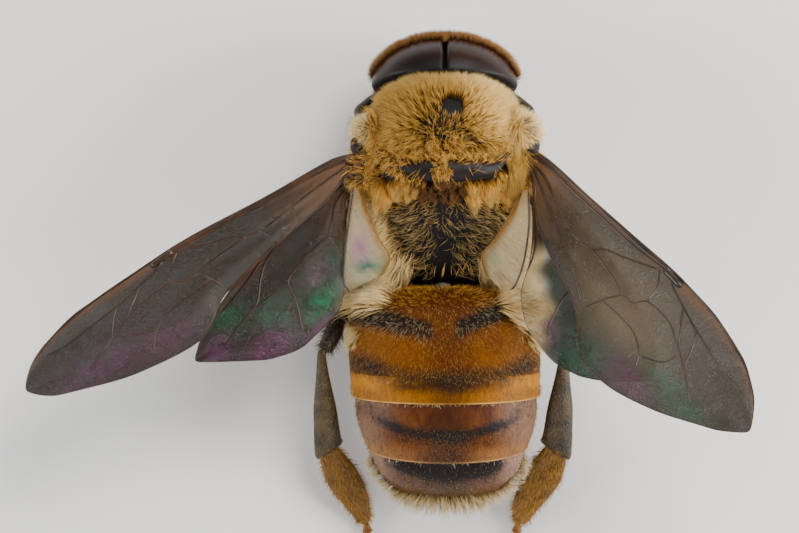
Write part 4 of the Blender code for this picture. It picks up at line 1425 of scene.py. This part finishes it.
def add_floor():
    s = Surface("studio_floor", Roughness=0.85)
    colour = s.ramp(s.noise(s.place(), 0.03, 2), [(0.3, srgb(238, 236, 233)), (0.7, srgb(244, 242, 239))])
    s.feed("Base Color", colour)
    reach = 6.0
    corners = [(-reach, -reach, 0), (reach, -reach, 0), (reach, reach, 0), (-reach, reach, 0)]
    mesh = bpy.data.meshes.new("studio_floor")
    mesh.from_pydata(corners, [], [(0, 1, 2, 3)])
    mesh.materials.append(s.material)
    floor = bpy.data.objects.new("studio_floor", mesh)
    bpy.context.scene.collection.objects.link(floor)


LIGHTS = (      # name, place, size, watts, colour
    ("key", (-60, -95, 150), 0.10, 0.37, (1.0, 0.97, 0.92)),
    ("left", (130, 15, 60), 0.10, 0.17, (0.97, 0.98, 1.0)),
    ("right", (-130, 15, 60), 0.10, 0.31, (0.98, 0.98, 1.0)),
    ("rear", (10, 130, 110), 0.12, 0.10, (1.0, 0.98, 0.95)),
)


def add_lights():
    for name, place, size, power, colour in LIGHTS:
        data = bpy.data.lights.new(name, "AREA")
        data.shape, data.size, data.energy, data.color = "DISK", size, power, colour
        light = bpy.data.objects.new(name, data)
        light.location = bee_point(*place)
        aim = bee_point(0, 1, 3) - light.location
        light.rotation_euler = aim.to_track_quat("-Z", "Y").to_euler()
        bpy.context.scene.collection.objects.link(light)
    world = bpy.data.worlds.new("studio")
    world.use_nodes = True
    world.node_tree.nodes["Background"].inputs["Color"].default_value = (0.92, 0.94, 1.0, 1)
    world.node_tree.nodes["Background"].inputs["Strength"].default_value = 0.17
    bpy.context.scene.world = world


# ---------------------------------------------------------------- coats

# hair colours at the root, in the body and at the tip, as a screen shows them
GOLD = ((34, 20, 4), (182, 130, 38), (238, 192, 96))
CREAM = ((112, 76, 26), (240, 188, 92), (252, 224, 150))
WHITE = ((168, 134, 78), (243, 214, 150), (253, 240, 200))
RUST = ((10, 3, 1), (42, 13, 3), (112, 46, 9))
AMBER = ((84, 46, 8), (220, 154, 52), (252, 210, 112))
KHAKI = ((30, 22, 10), (164, 130, 68), (232, 204, 138))
UMBER = ((24, 13, 4), (118, 76, 26), (182, 132, 62))
TUFT_GOLD = ((136, 82, 18), (228, 164, 60), (252, 214, 124))
PLATE_GREY = ((58, 48, 34), (160, 138, 98), (220, 202, 162))
PLATE_GOLD = ((64, 36, 3), (186, 124, 26), (242, 190, 78))
FRINGE = ((112, 84, 46), (212, 180, 122), (253, 242, 206))
LEG_GREY = ((62, 50, 34), (150, 134, 100), (206, 192, 156))
LEG_GOLD = ((60, 34, 5), (196, 136, 36), (238, 188, 84))
Z = 2


def grow(shape, count, where, lie, lean, length, width, **style):
    """Strands on a skin, as dense as where(place, normal) says and combed as lie(place) says."""
    root, normal = scatter(*shape, count, where)
    flow = np.broadcast_to(np.asarray(lie(root), float), root.shape)
    flow = flow + RANDOM.normal(0, style.pop("stray", 0.25), root.shape)
    flow = unit(flow - (flow * normal).sum(1, keepdims=True) * normal)
    lean = np.broadcast_to(lean(root) if callable(lean) else lean, len(root))[:, None]
    length = length(root) if callable(length) else length
    start, finish = leaning(normal, flow, 0.55 * lean), leaning(normal, flow, lean)
    return strands(root, start, finish, length, width, **style)


# densities: functions of the places and normals on a skin

def between(x, low, high, soft=0.15):
    return step_up(x, low - soft, low + soft) * step_up(-x, -high - soft, -high + soft)


def within(x=None, y=None, z=None, up=None):
    """Between soft limits along the axes, each as (low, high) or (low, high, softness), and where the skin
    faces up by more than a share."""
    limits = [(axis, limit) for axis, limit in enumerate((x, y, z)) if limit]

    def density(p, n):
        share = np.ones(len(p))
        for axis, limit in limits:
            share = share * between(p[:, axis], *limit)
        return share if up is None else share * (n[:, 2] > up)

    return density


def rising(axis, low, high):
    return lambda p, n: step_up(p[:, axis], low, high)


def facing(axis, low, high):
    return lambda p, n: step_up(n[:, axis], low, high)


def beside(low, high):
    """To the sides of the body."""
    return lambda p, n: step_up(np.abs(p[:, 0]), low, high)


def times(*densities):
    return lambda p, n: math.prod(density(p, n) for density in densities)


# lies: functions of the places on a skin

def radial(x, y, forward=0.0):
    """Combed away from a point on the back."""
    return lambda p: np.column_stack((p[:, 0] - x, p[:, 1] - y + forward, np.zeros(len(p))))


def straight(x, y, z):
    return lambda p: np.array((x, y, z))


def fanned(out, back, up=0.0):
    """Combed back, and further outwards the further it is from the middle."""
    return lambda p: np.column_stack((out * p[:, 0], np.full(len(p), back), np.full(len(p), up)))


def sideways(back, out=1.0, down=0.0):
    """Combed back and out from the middle, by the same amounts everywhere."""
    return lambda p: np.column_stack((np.sign(p[:, 0]) * out, np.full(len(p), back),
                                      np.full(len(p), -down)))


def around(low, high, height):
    """A map of a long skin: the angle round it, and the way along it from low to high."""
    def unwrap(roots):
        turn = np.arctan2(roots[:, 0], roots[:, 2] - height) / (2 * np.pi) + 0.5
        return np.column_stack((turn, (roots[:, 1] - low) / (high - low)))

    return unwrap


TRUNK_MAP = around(-6.2, 2.0, 3.6)
ABDOMEN_MAP = around(1.7, 9.2, 2.7)


def head_map(p):
    u, v, w = in_head(p).T
    return np.column_stack((np.arctan2(u, w) / (2 * np.pi) + 0.5, v / 4.4 + 0.5))


def leg_map(p):
    x, y, z = p.T
    turn = np.arctan2(z - 1, np.abs(x) - 2.8) / (2 * np.pi) + 0.5
    return np.column_stack((turn * 0.5 + 0.5 * (x > 0), (y + 5.6) / 17))


def on_scutum(p, n):
    """The front of the back, but for its bare disc, and thinner in the middle and at the rear."""
    x, y, z = p.T
    bare = np.hypot(x - BALD[0], y - BALD[1]) > BALD[2]
    thin = 0.82 * bell(np.hypot(x - 0.2, y + 3.15), 0, 0.95) + 0.70 * between(y, -2.90, -1.9, 0.2)
    trunk = (in_head(p)[:, 2] < -0.10) | (z > 5.3)
    return step_up(-y, 2.12, 2.30) * step_up(z, 4.3, 4.9) * bare * np.clip(1 - thin, 0.10, 1) \
        * step_up(2.36 - np.abs(x), 0, 0.16) * trunk


def goldness(p):
    """How far the fur on the back is from cream to gold: least on the right shoulder."""
    x, y, _ = p.T
    cream = step_up(-x + 0.5 * (-y - 3.6), 0.3, 1.7) * step_up(-y, 2.5, 3.1) + 0.45 * step_up(-y, 3.8, 4.4)
    return np.clip(1 - cream + 0.25 * step_up(x, 0.8, 2.2), 0, 1)


def scutum_coat(skin, gold):
    """The scutum's fur, a second lock behind its middle, a comb by the right wing, and a few strays."""
    lean = lambda p: 0.26 + 0.36 * step_up(np.hypot(p[:, 0], p[:, 1] + 3.1), 0.6, 2.0)
    comb = times(within((-2.44, -1.92, 0.08), (-3.1, -1.3, 0.2)), rising(Z, 4.4, 4.8))
    locks = [
        grow(skin, 13000, on_scutum, radial(0, -2.9, -0.15), lean, 0.60, 0.020, stray=0.34, curl=0.06,
             clump=7, pull=0.42),
        grow(skin, 1700, times(on_scutum, within(y=(-3.1, -2.2))), radial(0.1, -3.5, 0.2), 0.72, 0.72,
             0.021, stray=0.55, curl=0.10, clump=7, pull=0.60),
        grow(skin, 2800, comb, straight(0.02, 1.0, 0.0), 0.78, 0.85, 0.026, stray=0.10, curl=0.03),
        grow(skin, 110, within((-1.5, 1.9), (-2.9, -2.2)), radial(0.1, -3.3), 0.85, 1.0, 0.028, stray=1.6,
             curl=0.24, rings=4),
    ]
    coat("coat_scutum", locks, TRUNK_MAP, gold, "gold_fur", goldness)


def back_coat(skin):
    """The combed tufts behind the scutellum, and thin curled hair on the dark rear of the thorax."""
    row = (-1.42, -1.0, 0.08)

    def thinly(p, n):
        x, y, _ = p.T
        parting = np.abs(x - 0.03) > 0.24 * step_up(y, 0.0, 0.7)
        fuller = 0.5 + 0.5 * step_up(np.abs(x), 0.5, 1.7)
        return between(y, -1.05, 1.5) * (n[:, 2] > 0.05) * parting * fuller

    locks = [
        grow(skin, 1500, within((0.80, 2.05, 0.12), row, up=0.1), straight(0.10, 1.0, 0), 0.55,
             lambda p: 0.42 + 0.66 * bell(p[:, 0], 1.75, 0.26), 0.022, stray=0.25, curl=0.10, clump=110,
             pull=0.72),
        grow(skin, 1400, within((-2.0, -0.62, 0.12), row, up=0.1), straight(-0.08, 1.0, 0), 0.58,
             lambda p: 0.50 + 0.42 * bell(p[:, 0], -1.0, 0.30), 0.022, stray=0.28, curl=0.14, clump=80,
             pull=0.75),
        grow(skin, 700, within((-2.3, -1.6, 0.1), (-1.7, -0.7, 0.1), up=0.1), straight(-0.3, 1.0, 0), 0.6,
             0.5, 0.024, stray=0.6, curl=0.15, clump=12, pull=0.7),
        grow(skin, 3300, thinly, fanned(1.5, 0.5), 0.72, 0.40, 0.017, stray=0.65, curl=0.34, clump=5,
             pull=0.5, rings=3),
    ]
    coat("coat_back", locks, TRUNK_MAP, hair("fur_gold_tufts", KHAKI, TUFT_GOLD), "gold_fur",
         lambda p: step_up(-p[:, 1], 0.30, 0.75))


def tuft_coat(skin, bar):
    """Orange tufts on the scutellum's middle and ends, before and behind it, and by the wings' hinges."""
    off_middle = lambda p, n: np.abs(p[:, 0] - 0.1) > 0.3
    front = lambda p, n: n[:, 1] < -0.2
    left_end = lambda p, n: p[:, 0] > 1.15
    high = rising(Z, 4.3, 4.7)
    locks = [
        grow(bar, 800, within((-0.10, 0.32, 0.10), up=-0.3), straight(0, 0.4, 0), 0.45, 0.34, 0.020,
             stray=0.9, curl=0.12, clump=5, pull=0.5),
        grow(bar, 420, times(off_middle, front), radial(0.1, -1.6), 0.5, 0.38, 0.020, stray=0.7, curl=0.14,
             clump=5, pull=0.6),
        grow(bar, 320, times(left_end, within(up=-0.2)), straight(0.2, 0.8, 0), 0.6, 0.45, 0.020,
             stray=0.6, curl=0.14, clump=5, pull=0.6),
        grow(bar, 46, times(off_middle, within(up=0)), straight(0, 0.6, 0), 0.8, 0.7, 0.022, stray=1.4,
             curl=0.22, rings=4),
        grow(skin, 900, within((-0.7, 1.5, 0.25), (-2.70, -2.08, 0.08), up=0), radial(0.2, -2.9), 0.55,
             0.50, 0.022, stray=0.6, curl=0.12, clump=7, pull=0.7),
        grow(skin, 1100, within((-0.62, 0.9, 0.1), (-1.48, -0.90, 0.08), up=0), straight(0, 1.0, 0), 0.50,
             0.46, 0.024, stray=0.9, curl=0.16, clump=14, pull=0.75),
        grow(skin, 1100, times(within((1.9, 2.7, 0.1), (-2.7, -0.9, 0.15)), high), sideways(0.4, 0.5),
             0.60, 0.60, 0.022, stray=0.7, curl=0.14, clump=6, pull=0.6),
        grow(skin, 800, times(within((-2.9, -2.35, 0.1), (-2.8, -1.0, 0.15)), high), sideways(0.8, 0.3),
             0.60, 0.48, 0.021, stray=0.6, curl=0.12, clump=6, pull=0.6),
    ]
    coat("coat_orange_tufts", locks, TRUNK_MAP, hair("fur_rust", RUST, AMBER), "gold_fur",
         lambda p: np.where((p[:, 1] > -1.45) & (np.abs(p[:, 0]) < 1.0), 0.12, 0.92))


def flank_coat(skin):
    """The pale fleece beside the waist, and the pale patches before the wings."""
    fleece = lambda p, n: step_up(np.abs(p[:, 0]) + 0.32 * (p[:, 1] + 0.75), 1.75, 2.10)
    steep = lambda p, n: step_up(np.abs(n[:, 0]), 0.10, 0.4)
    locks = [
        grow(skin, 9000, times(within(y=(-0.9, 1.75)), fleece, within(z=(2.3, 5.0, 0.3)), steep),
             sideways(0.70, 0.85), 0.50, lambda p: 0.85 + 0.70 * step_up(p[:, 1], -0.2, 1.0), 0.024,
             stray=0.28, curl=0.10, clump=6, pull=0.25),
        grow(skin, 2600, times(within(y=(0.9, 2.3), up=-0.2), beside(0.95, 1.3)), sideways(1.3, 0.55),
             0.50, 0.62, 0.024, stray=0.30, curl=0.10, clump=6, pull=0.25),
        grow(skin, 3400, times(within(y=(-3.35, -2.60, 0.12), z=(3.6, 5.6)), beside(2.2, 2.36)),
             sideways(0.5), 0.45, lambda p: 0.30 + 0.14 * (p[:, 0] < 0), 0.020, stray=0.35, curl=0.10),
        grow(skin, 1200, times(within(y=(-3.5, -2.9, 0.12), z=(3.2, 4.6)), beside(1.9, 2.2)),
             sideways(0.1), 0.40, 0.42, 0.020, stray=0.40, curl=0.10),
    ]
    coat("coat_flanks", locks, TRUNK_MAP, hair("fur_white", WHITE, CREAM, tone=0.2), "cream_fur", 0.30)


def breast_coat(skin, gold):
    """The fur underneath the thorax and on its sides."""
    low = lambda p, n: step_up(-p[:, 2], -4.3, -3.6) * (np.abs(n[:, 1]) < 0.95)
    under = times(within(y=(-3.6, 1.3)), low)
    sides = times(within(y=(-2.9, -0.8), z=(3.9, 4.9, 0.3)), beside(1.9, 2.2))
    locks = [
        grow(skin, 9000, under, fanned(0.3, 0.7, -0.5), 0.60, 0.50, 0.026, stray=0.35, curl=0.12, clump=8,
             pull=0.3),
        grow(skin, 3600, sides, sideways(0.5, 0.4, 0.3), 0.55, 0.50, 0.026, stray=0.4, curl=0.12),
    ]
    coat("coat_breast", locks, TRUNK_MAP, gold, "cream_fur", 0.25)


def thorax_coats(skin, bar):
    gold = hair("fur_gold", CREAM, GOLD)
    scutum_coat(skin, gold)
    back_coat(skin)
    tuft_coat(skin, bar)
    flank_coat(skin)
    breast_coat(skin, gold)


def on_eye_rim(p, n):
    """The brown brush round the front of the eyes, densest where they meet."""
    u, _, w = in_head(p).T
    shell = np.linalg.norm(in_head(p) / np.array(EYES[:3]), axis=1)
    inner = step_up(-np.abs(u), -0.16, -0.06) * step_up(w, 1.0, 1.15)
    return (shell > 0.985 - 0.1 * inner) * between(n[:, 2], -0.75, 0.33 + 0.2 * inner, 0.05) \
        * step_up(w, 0.10, 0.5) * (1 + 5 * inner)


def on_face(p, n):
    _, v, w = in_head(p).T
    inside = np.linalg.norm((in_head(p) - FACE_CENTRE) / FACE_HALF, axis=1) < 0.96
    return between(v, -1.9, 0.70, 0.1) * step_up(w, 0.45, 0.60) * (n @ head_axes()[2] > 0.05) * inside


def on_crown(p, n):
    return on_face(p, n) * between(in_head(p)[:, 1], 0.08, 0.36, 0.05)


def on_nape(p, n):
    return between(p[:, 1], -4.45, -3.8, 0.05) * (in_head(p)[:, 2] < -0.30) * (p[:, 2] < 4.7)


def head_coats(skin, eyes):
    down = -head_axes()[1]
    locks = [grow(eye, 4600, on_eye_rim, straight(0, -0.6, 0.5), 0.12, 0.30, 0.018, stray=0.40, curl=0.06)
             for eye in eyes]
    coat("coat_eye_rims", locks, head_map, hair("fur_eye_rim", UMBER, tone=0.5), "gold_fur")
    locks = [
        grow(skin, 4200, on_face, lambda p: down * 0.8 + np.sign(p[:, :1]) * np.array((0.4, 0, 0)), 0.45,
             lambda p: 0.20 + 0.16 * step_up(np.abs(in_head(p)[:, 1] + 0.3), 0.3, 1.0), 0.020, stray=0.35,
             curl=0.12),
        grow(skin, 420, on_crown, straight(0, -0.9, 0.6), 0.35, 0.34, 0.020, stray=0.4, curl=0.10,
             clump=12, pull=0.4),
        grow(skin, 1300, on_nape, straight(0, 1, 0.2), 0.5, 0.26, 0.020, stray=0.4, curl=0.12),
    ]
    coat("coat_face", locks, head_map, hair("fur_face", KHAKI, CREAM, tone=0.3), "cream_fur",
         lambda p: 0.5 + 0.5 * (p[:, 1] > -4.6))


def plate_hair_warmth(p):
    """Hairs on the dark markings are grey, and the others gold."""
    x, y, _ = p.T
    marked = np.maximum(black_spots(x, y), 0.5 * smoky_band(x, y) + black_band(x, y))
    return np.clip(1 - 1.2 * marked, 0, 1)


def plate_coat(plates):
    """The short hairs on top of each plate, longest on the first two."""
    top = facing(Z, -0.35, 0.1)
    front = lambda p, n: 0.6 + 0.4 * step_up(3.0 - p[:, 1], 0, 0.6)
    fore = lambda p, n: step_up(3.25 - p[:, 1], 0, 0.9)
    third = lambda p, n: 0.5 + bell(p[:, 0], 0, 1.2)
    fourth = lambda p, n: step_up(p[:, 1], 6.2, 6.7) * (0.15 + bell(p[:, 0], 0, 1.1))
    fifth = lambda p, n: step_up(2.4 - np.abs(p[:, 0]), 0, 0.5) * (1 - 0.75 * black_band(p[:, 0], p[:, 1]))
    locks = [
        grow(plates[0], 4200, times(top, front), radial(0, 1.3), 0.62,
             lambda p: 0.18 + 0.10 * step_up(2.9 - p[:, 1], 0, 0.7), 0.016, stray=0.24, curl=0.08, clump=4,
             pull=0.4),
        grow(plates[0], 2200, times(top, fore), radial(0, 0.9), 0.40,
             lambda p: 0.16 + 0.08 * step_up(2.7 - p[:, 1], 0, 0.4), 0.016, stray=0.40, rings=1),
        grow(plates[1], 9500, top, radial(0, 0.6), 0.72,
             lambda p: 0.16 + 0.08 * black_spots(p[:, 0], p[:, 1]), 0.017, stray=0.50, rings=1),
        grow(plates[2], 3400, times(top, third), radial(0, 0.6), 0.80, 0.12, 0.015, stray=0.45, rings=1),
        grow(plates[3], 2200, times(top, fourth), radial(0, 3.0), 0.75, 0.11, 0.016, stray=0.4, rings=1),
        grow(plates[4], 4800, times(top, fifth), radial(0, 4.0), 0.65, 0.11, 0.016, stray=0.5, rings=1),
    ]
    coat("coat_abdomen", locks, ABDOMEN_MAP, hair("fur_abdomen", PLATE_GREY, PLATE_GOLD, tone=0.5),
         "gold_fur", plate_hair_warmth)


def fringe_coat(plates, tip, cream):
    """The long pale fringe round the tail, and a few hairs at the sides of the rear plates."""
    lean_back = math.radians(28)

    def behind(p):
        return (p[:, 1] - PLATE_ENDS[5]) * math.cos(lean_back) - (p[:, 2] - 2.12) * math.sin(lean_back)

    def combed(p):
        return np.column_stack((0.62 * p[:, 0], np.full(len(p), 1.9), 0.15 * (p[:, 2] - 2.0)))

    end = lambda p, n: step_up(behind(p), -0.02, 0.06) * (n[:, 1] > 0.1)
    lip = lambda p, n: step_up(behind(p), -0.09, -0.03)
    edge = lambda p, n: step_up(p[:, 1], 7.05, 7.5) * between(n[:, 2], -0.5, 0.30, 0.1) * (p[:, 2] > 1.2)
    locks = [
        grow(tip, 1900, end, combed, 0.30, lambda p: 0.56 + 0.26 * step_up(1.6 - np.abs(p[:, 0]), 0, 0.8),
             0.019, stray=0.15, curl=0.05, rings=3, clump=4, pull=0.7),
        grow(plates[4], 1300, lip, combed, 0.45, 0.62, 0.018, stray=0.16, curl=0.05, rings=3, clump=4,
             pull=0.7),
        grow(plates[4], 1100, edge, fanned(0.85, 1.0), 0.45, 0.50, 0.016, stray=0.18, curl=0.05, rings=3,
             clump=3, pull=0.6),
    ]
    for plate, low in ((2, 5.0), (3, 5.6), (4, 6.9)):
        side = lambda p, n: (np.abs(n[:, 0]) > 0.8) * (p[:, 1] > low) * between(p[:, 2], 1.2, 3.4)
        locks.append(grow(plates[plate], 260, side, sideways(1.2, 0.6), 0.6, 0.20, 0.014, stray=0.2))
    coat("coat_fringe", locks, ABDOMEN_MAP, cream, "cream_fur")


def shoulder_coat(plates):
    """The pale fleece on the shoulders of the first two plates, which reaches further on the right."""
    def on_first(p, n):
        x, y, z = p.T
        right = x < 0
        outer = np.abs(x) - (1.6 - 0.4 * right) * (y - 1.9)
        return step_up(np.abs(x), 1.45, 2.0) * between(z, 1.9, 4.6, 0.2) \
            * step_up(2.75 + 0.55 * right - y, 0, 0.4) * step_up(outer, 0.6, 1.0)

    def on_second(p, n):
        x, y, z = p.T
        return step_up(np.abs(n[:, 0]) + 0.1 * (x < 0), 0.78, 0.95) * step_up(3.9 - y, 0, 0.7) \
            * between(z, 1.8, 4.6, 0.2)

    locks = [
        grow(plates[0], 8200, on_first, sideways(0.8, 0.8, 0.1), 0.50, 0.86, 0.024, stray=0.3, curl=0.12,
             rings=3, clump=6, pull=0.25),
        grow(plates[1], 1700, on_second, sideways(1.1, 0.45, 0.1), 0.62,
             lambda p: 0.34 + 0.32 * (p[:, 0] < 0), 0.022, stray=0.3, curl=0.12),
    ]
    coat("coat_shoulders", locks, ABDOMEN_MAP, hair("fur_shoulders", WHITE, CREAM, tone=0.2), "cream_fur",
         0.35)


def abdomen_coats(plates, tip):
    plate_coat(plates)
    cream = hair("fur_fringe", FRINGE, tone=0.4)
    fringe_coat(plates, tip, cream)
    shoulder_coat(plates)
    below = lambda p, n: step_up(-n[:, 2], 0.1, 0.5)
    locks = [grow(plate, 1500, below, straight(0, 1, 0), 0.8, 0.22, 0.018, stray=0.3, curl=0.1)
             for plate in plates]
    coat("coat_belly", locks, ABDOMEN_MAP, cream, "cream_fur")


LEG_HAIR = {    # member: (hairs per square millimetre, lean, length, width)
    "femur": (240, 0.50, 0.32, 0.015), "tibia": (220, 0.80, 0.12, 0.012), "foot": (330, 0.50, 0.26, 0.014),
    "tarsus": (160, 0.60, 0.12, 0.013),
}


def leg_coats(legs):
    """Hair on each pair of legs, grey down to the tibia and gold on the foot."""
    material = hair("fur_legs", LEG_GREY, LEG_GOLD, tone=0.45)
    for pair, members in legs.items():
        locks, warmth = [], []
        for shape, member in members:
            density, *style = LEG_HAIR[member]
            ahead = unit(shape[0][-1] - shape[0][-2])
            count = int(density * face_areas(*shape).sum())
            locks.append(grow(shape, count, within(), straight(*ahead), *style, stray=0.25, curl=0.08))
            warmth.append(np.full(len(locks[-1]["along"]), float(member in ("foot", "tarsus"))))
        coat(f"coat_{pair}_legs", locks, leg_map, material, "gold_foot", np.concatenate(warmth))


# ---------------------------------------------------------------- everything


def build_bee():
    materials = {use: shell(*look) for use, look in SHELLS.items()}
    materials.update(eye=eye_material(), gloss=gloss_material())
    skin = body_skin()
    piece("body_skin", skin, materials["skin"], ["head", "neck", "thorax", "waist"])
    bar = build_thorax_plates(materials)
    build_face(materials)
    plates = build_plates()
    build_wings()
    build_sclerites(materials["sclerite"])
    legs = build_legs(materials)
    tip = tip_shape()
    piece("abdomen_tip_shell", tip, materials["skin"], ["abdomen_tip"])
    thorax_coats(skin, bar)
    head_coats(skin, [eye_skin(side) for side in SIDES.values()])
    abdomen_coats(plates, tip)
    leg_coats(legs)


build_bee()
add_camera()
add_floor()
add_lights()
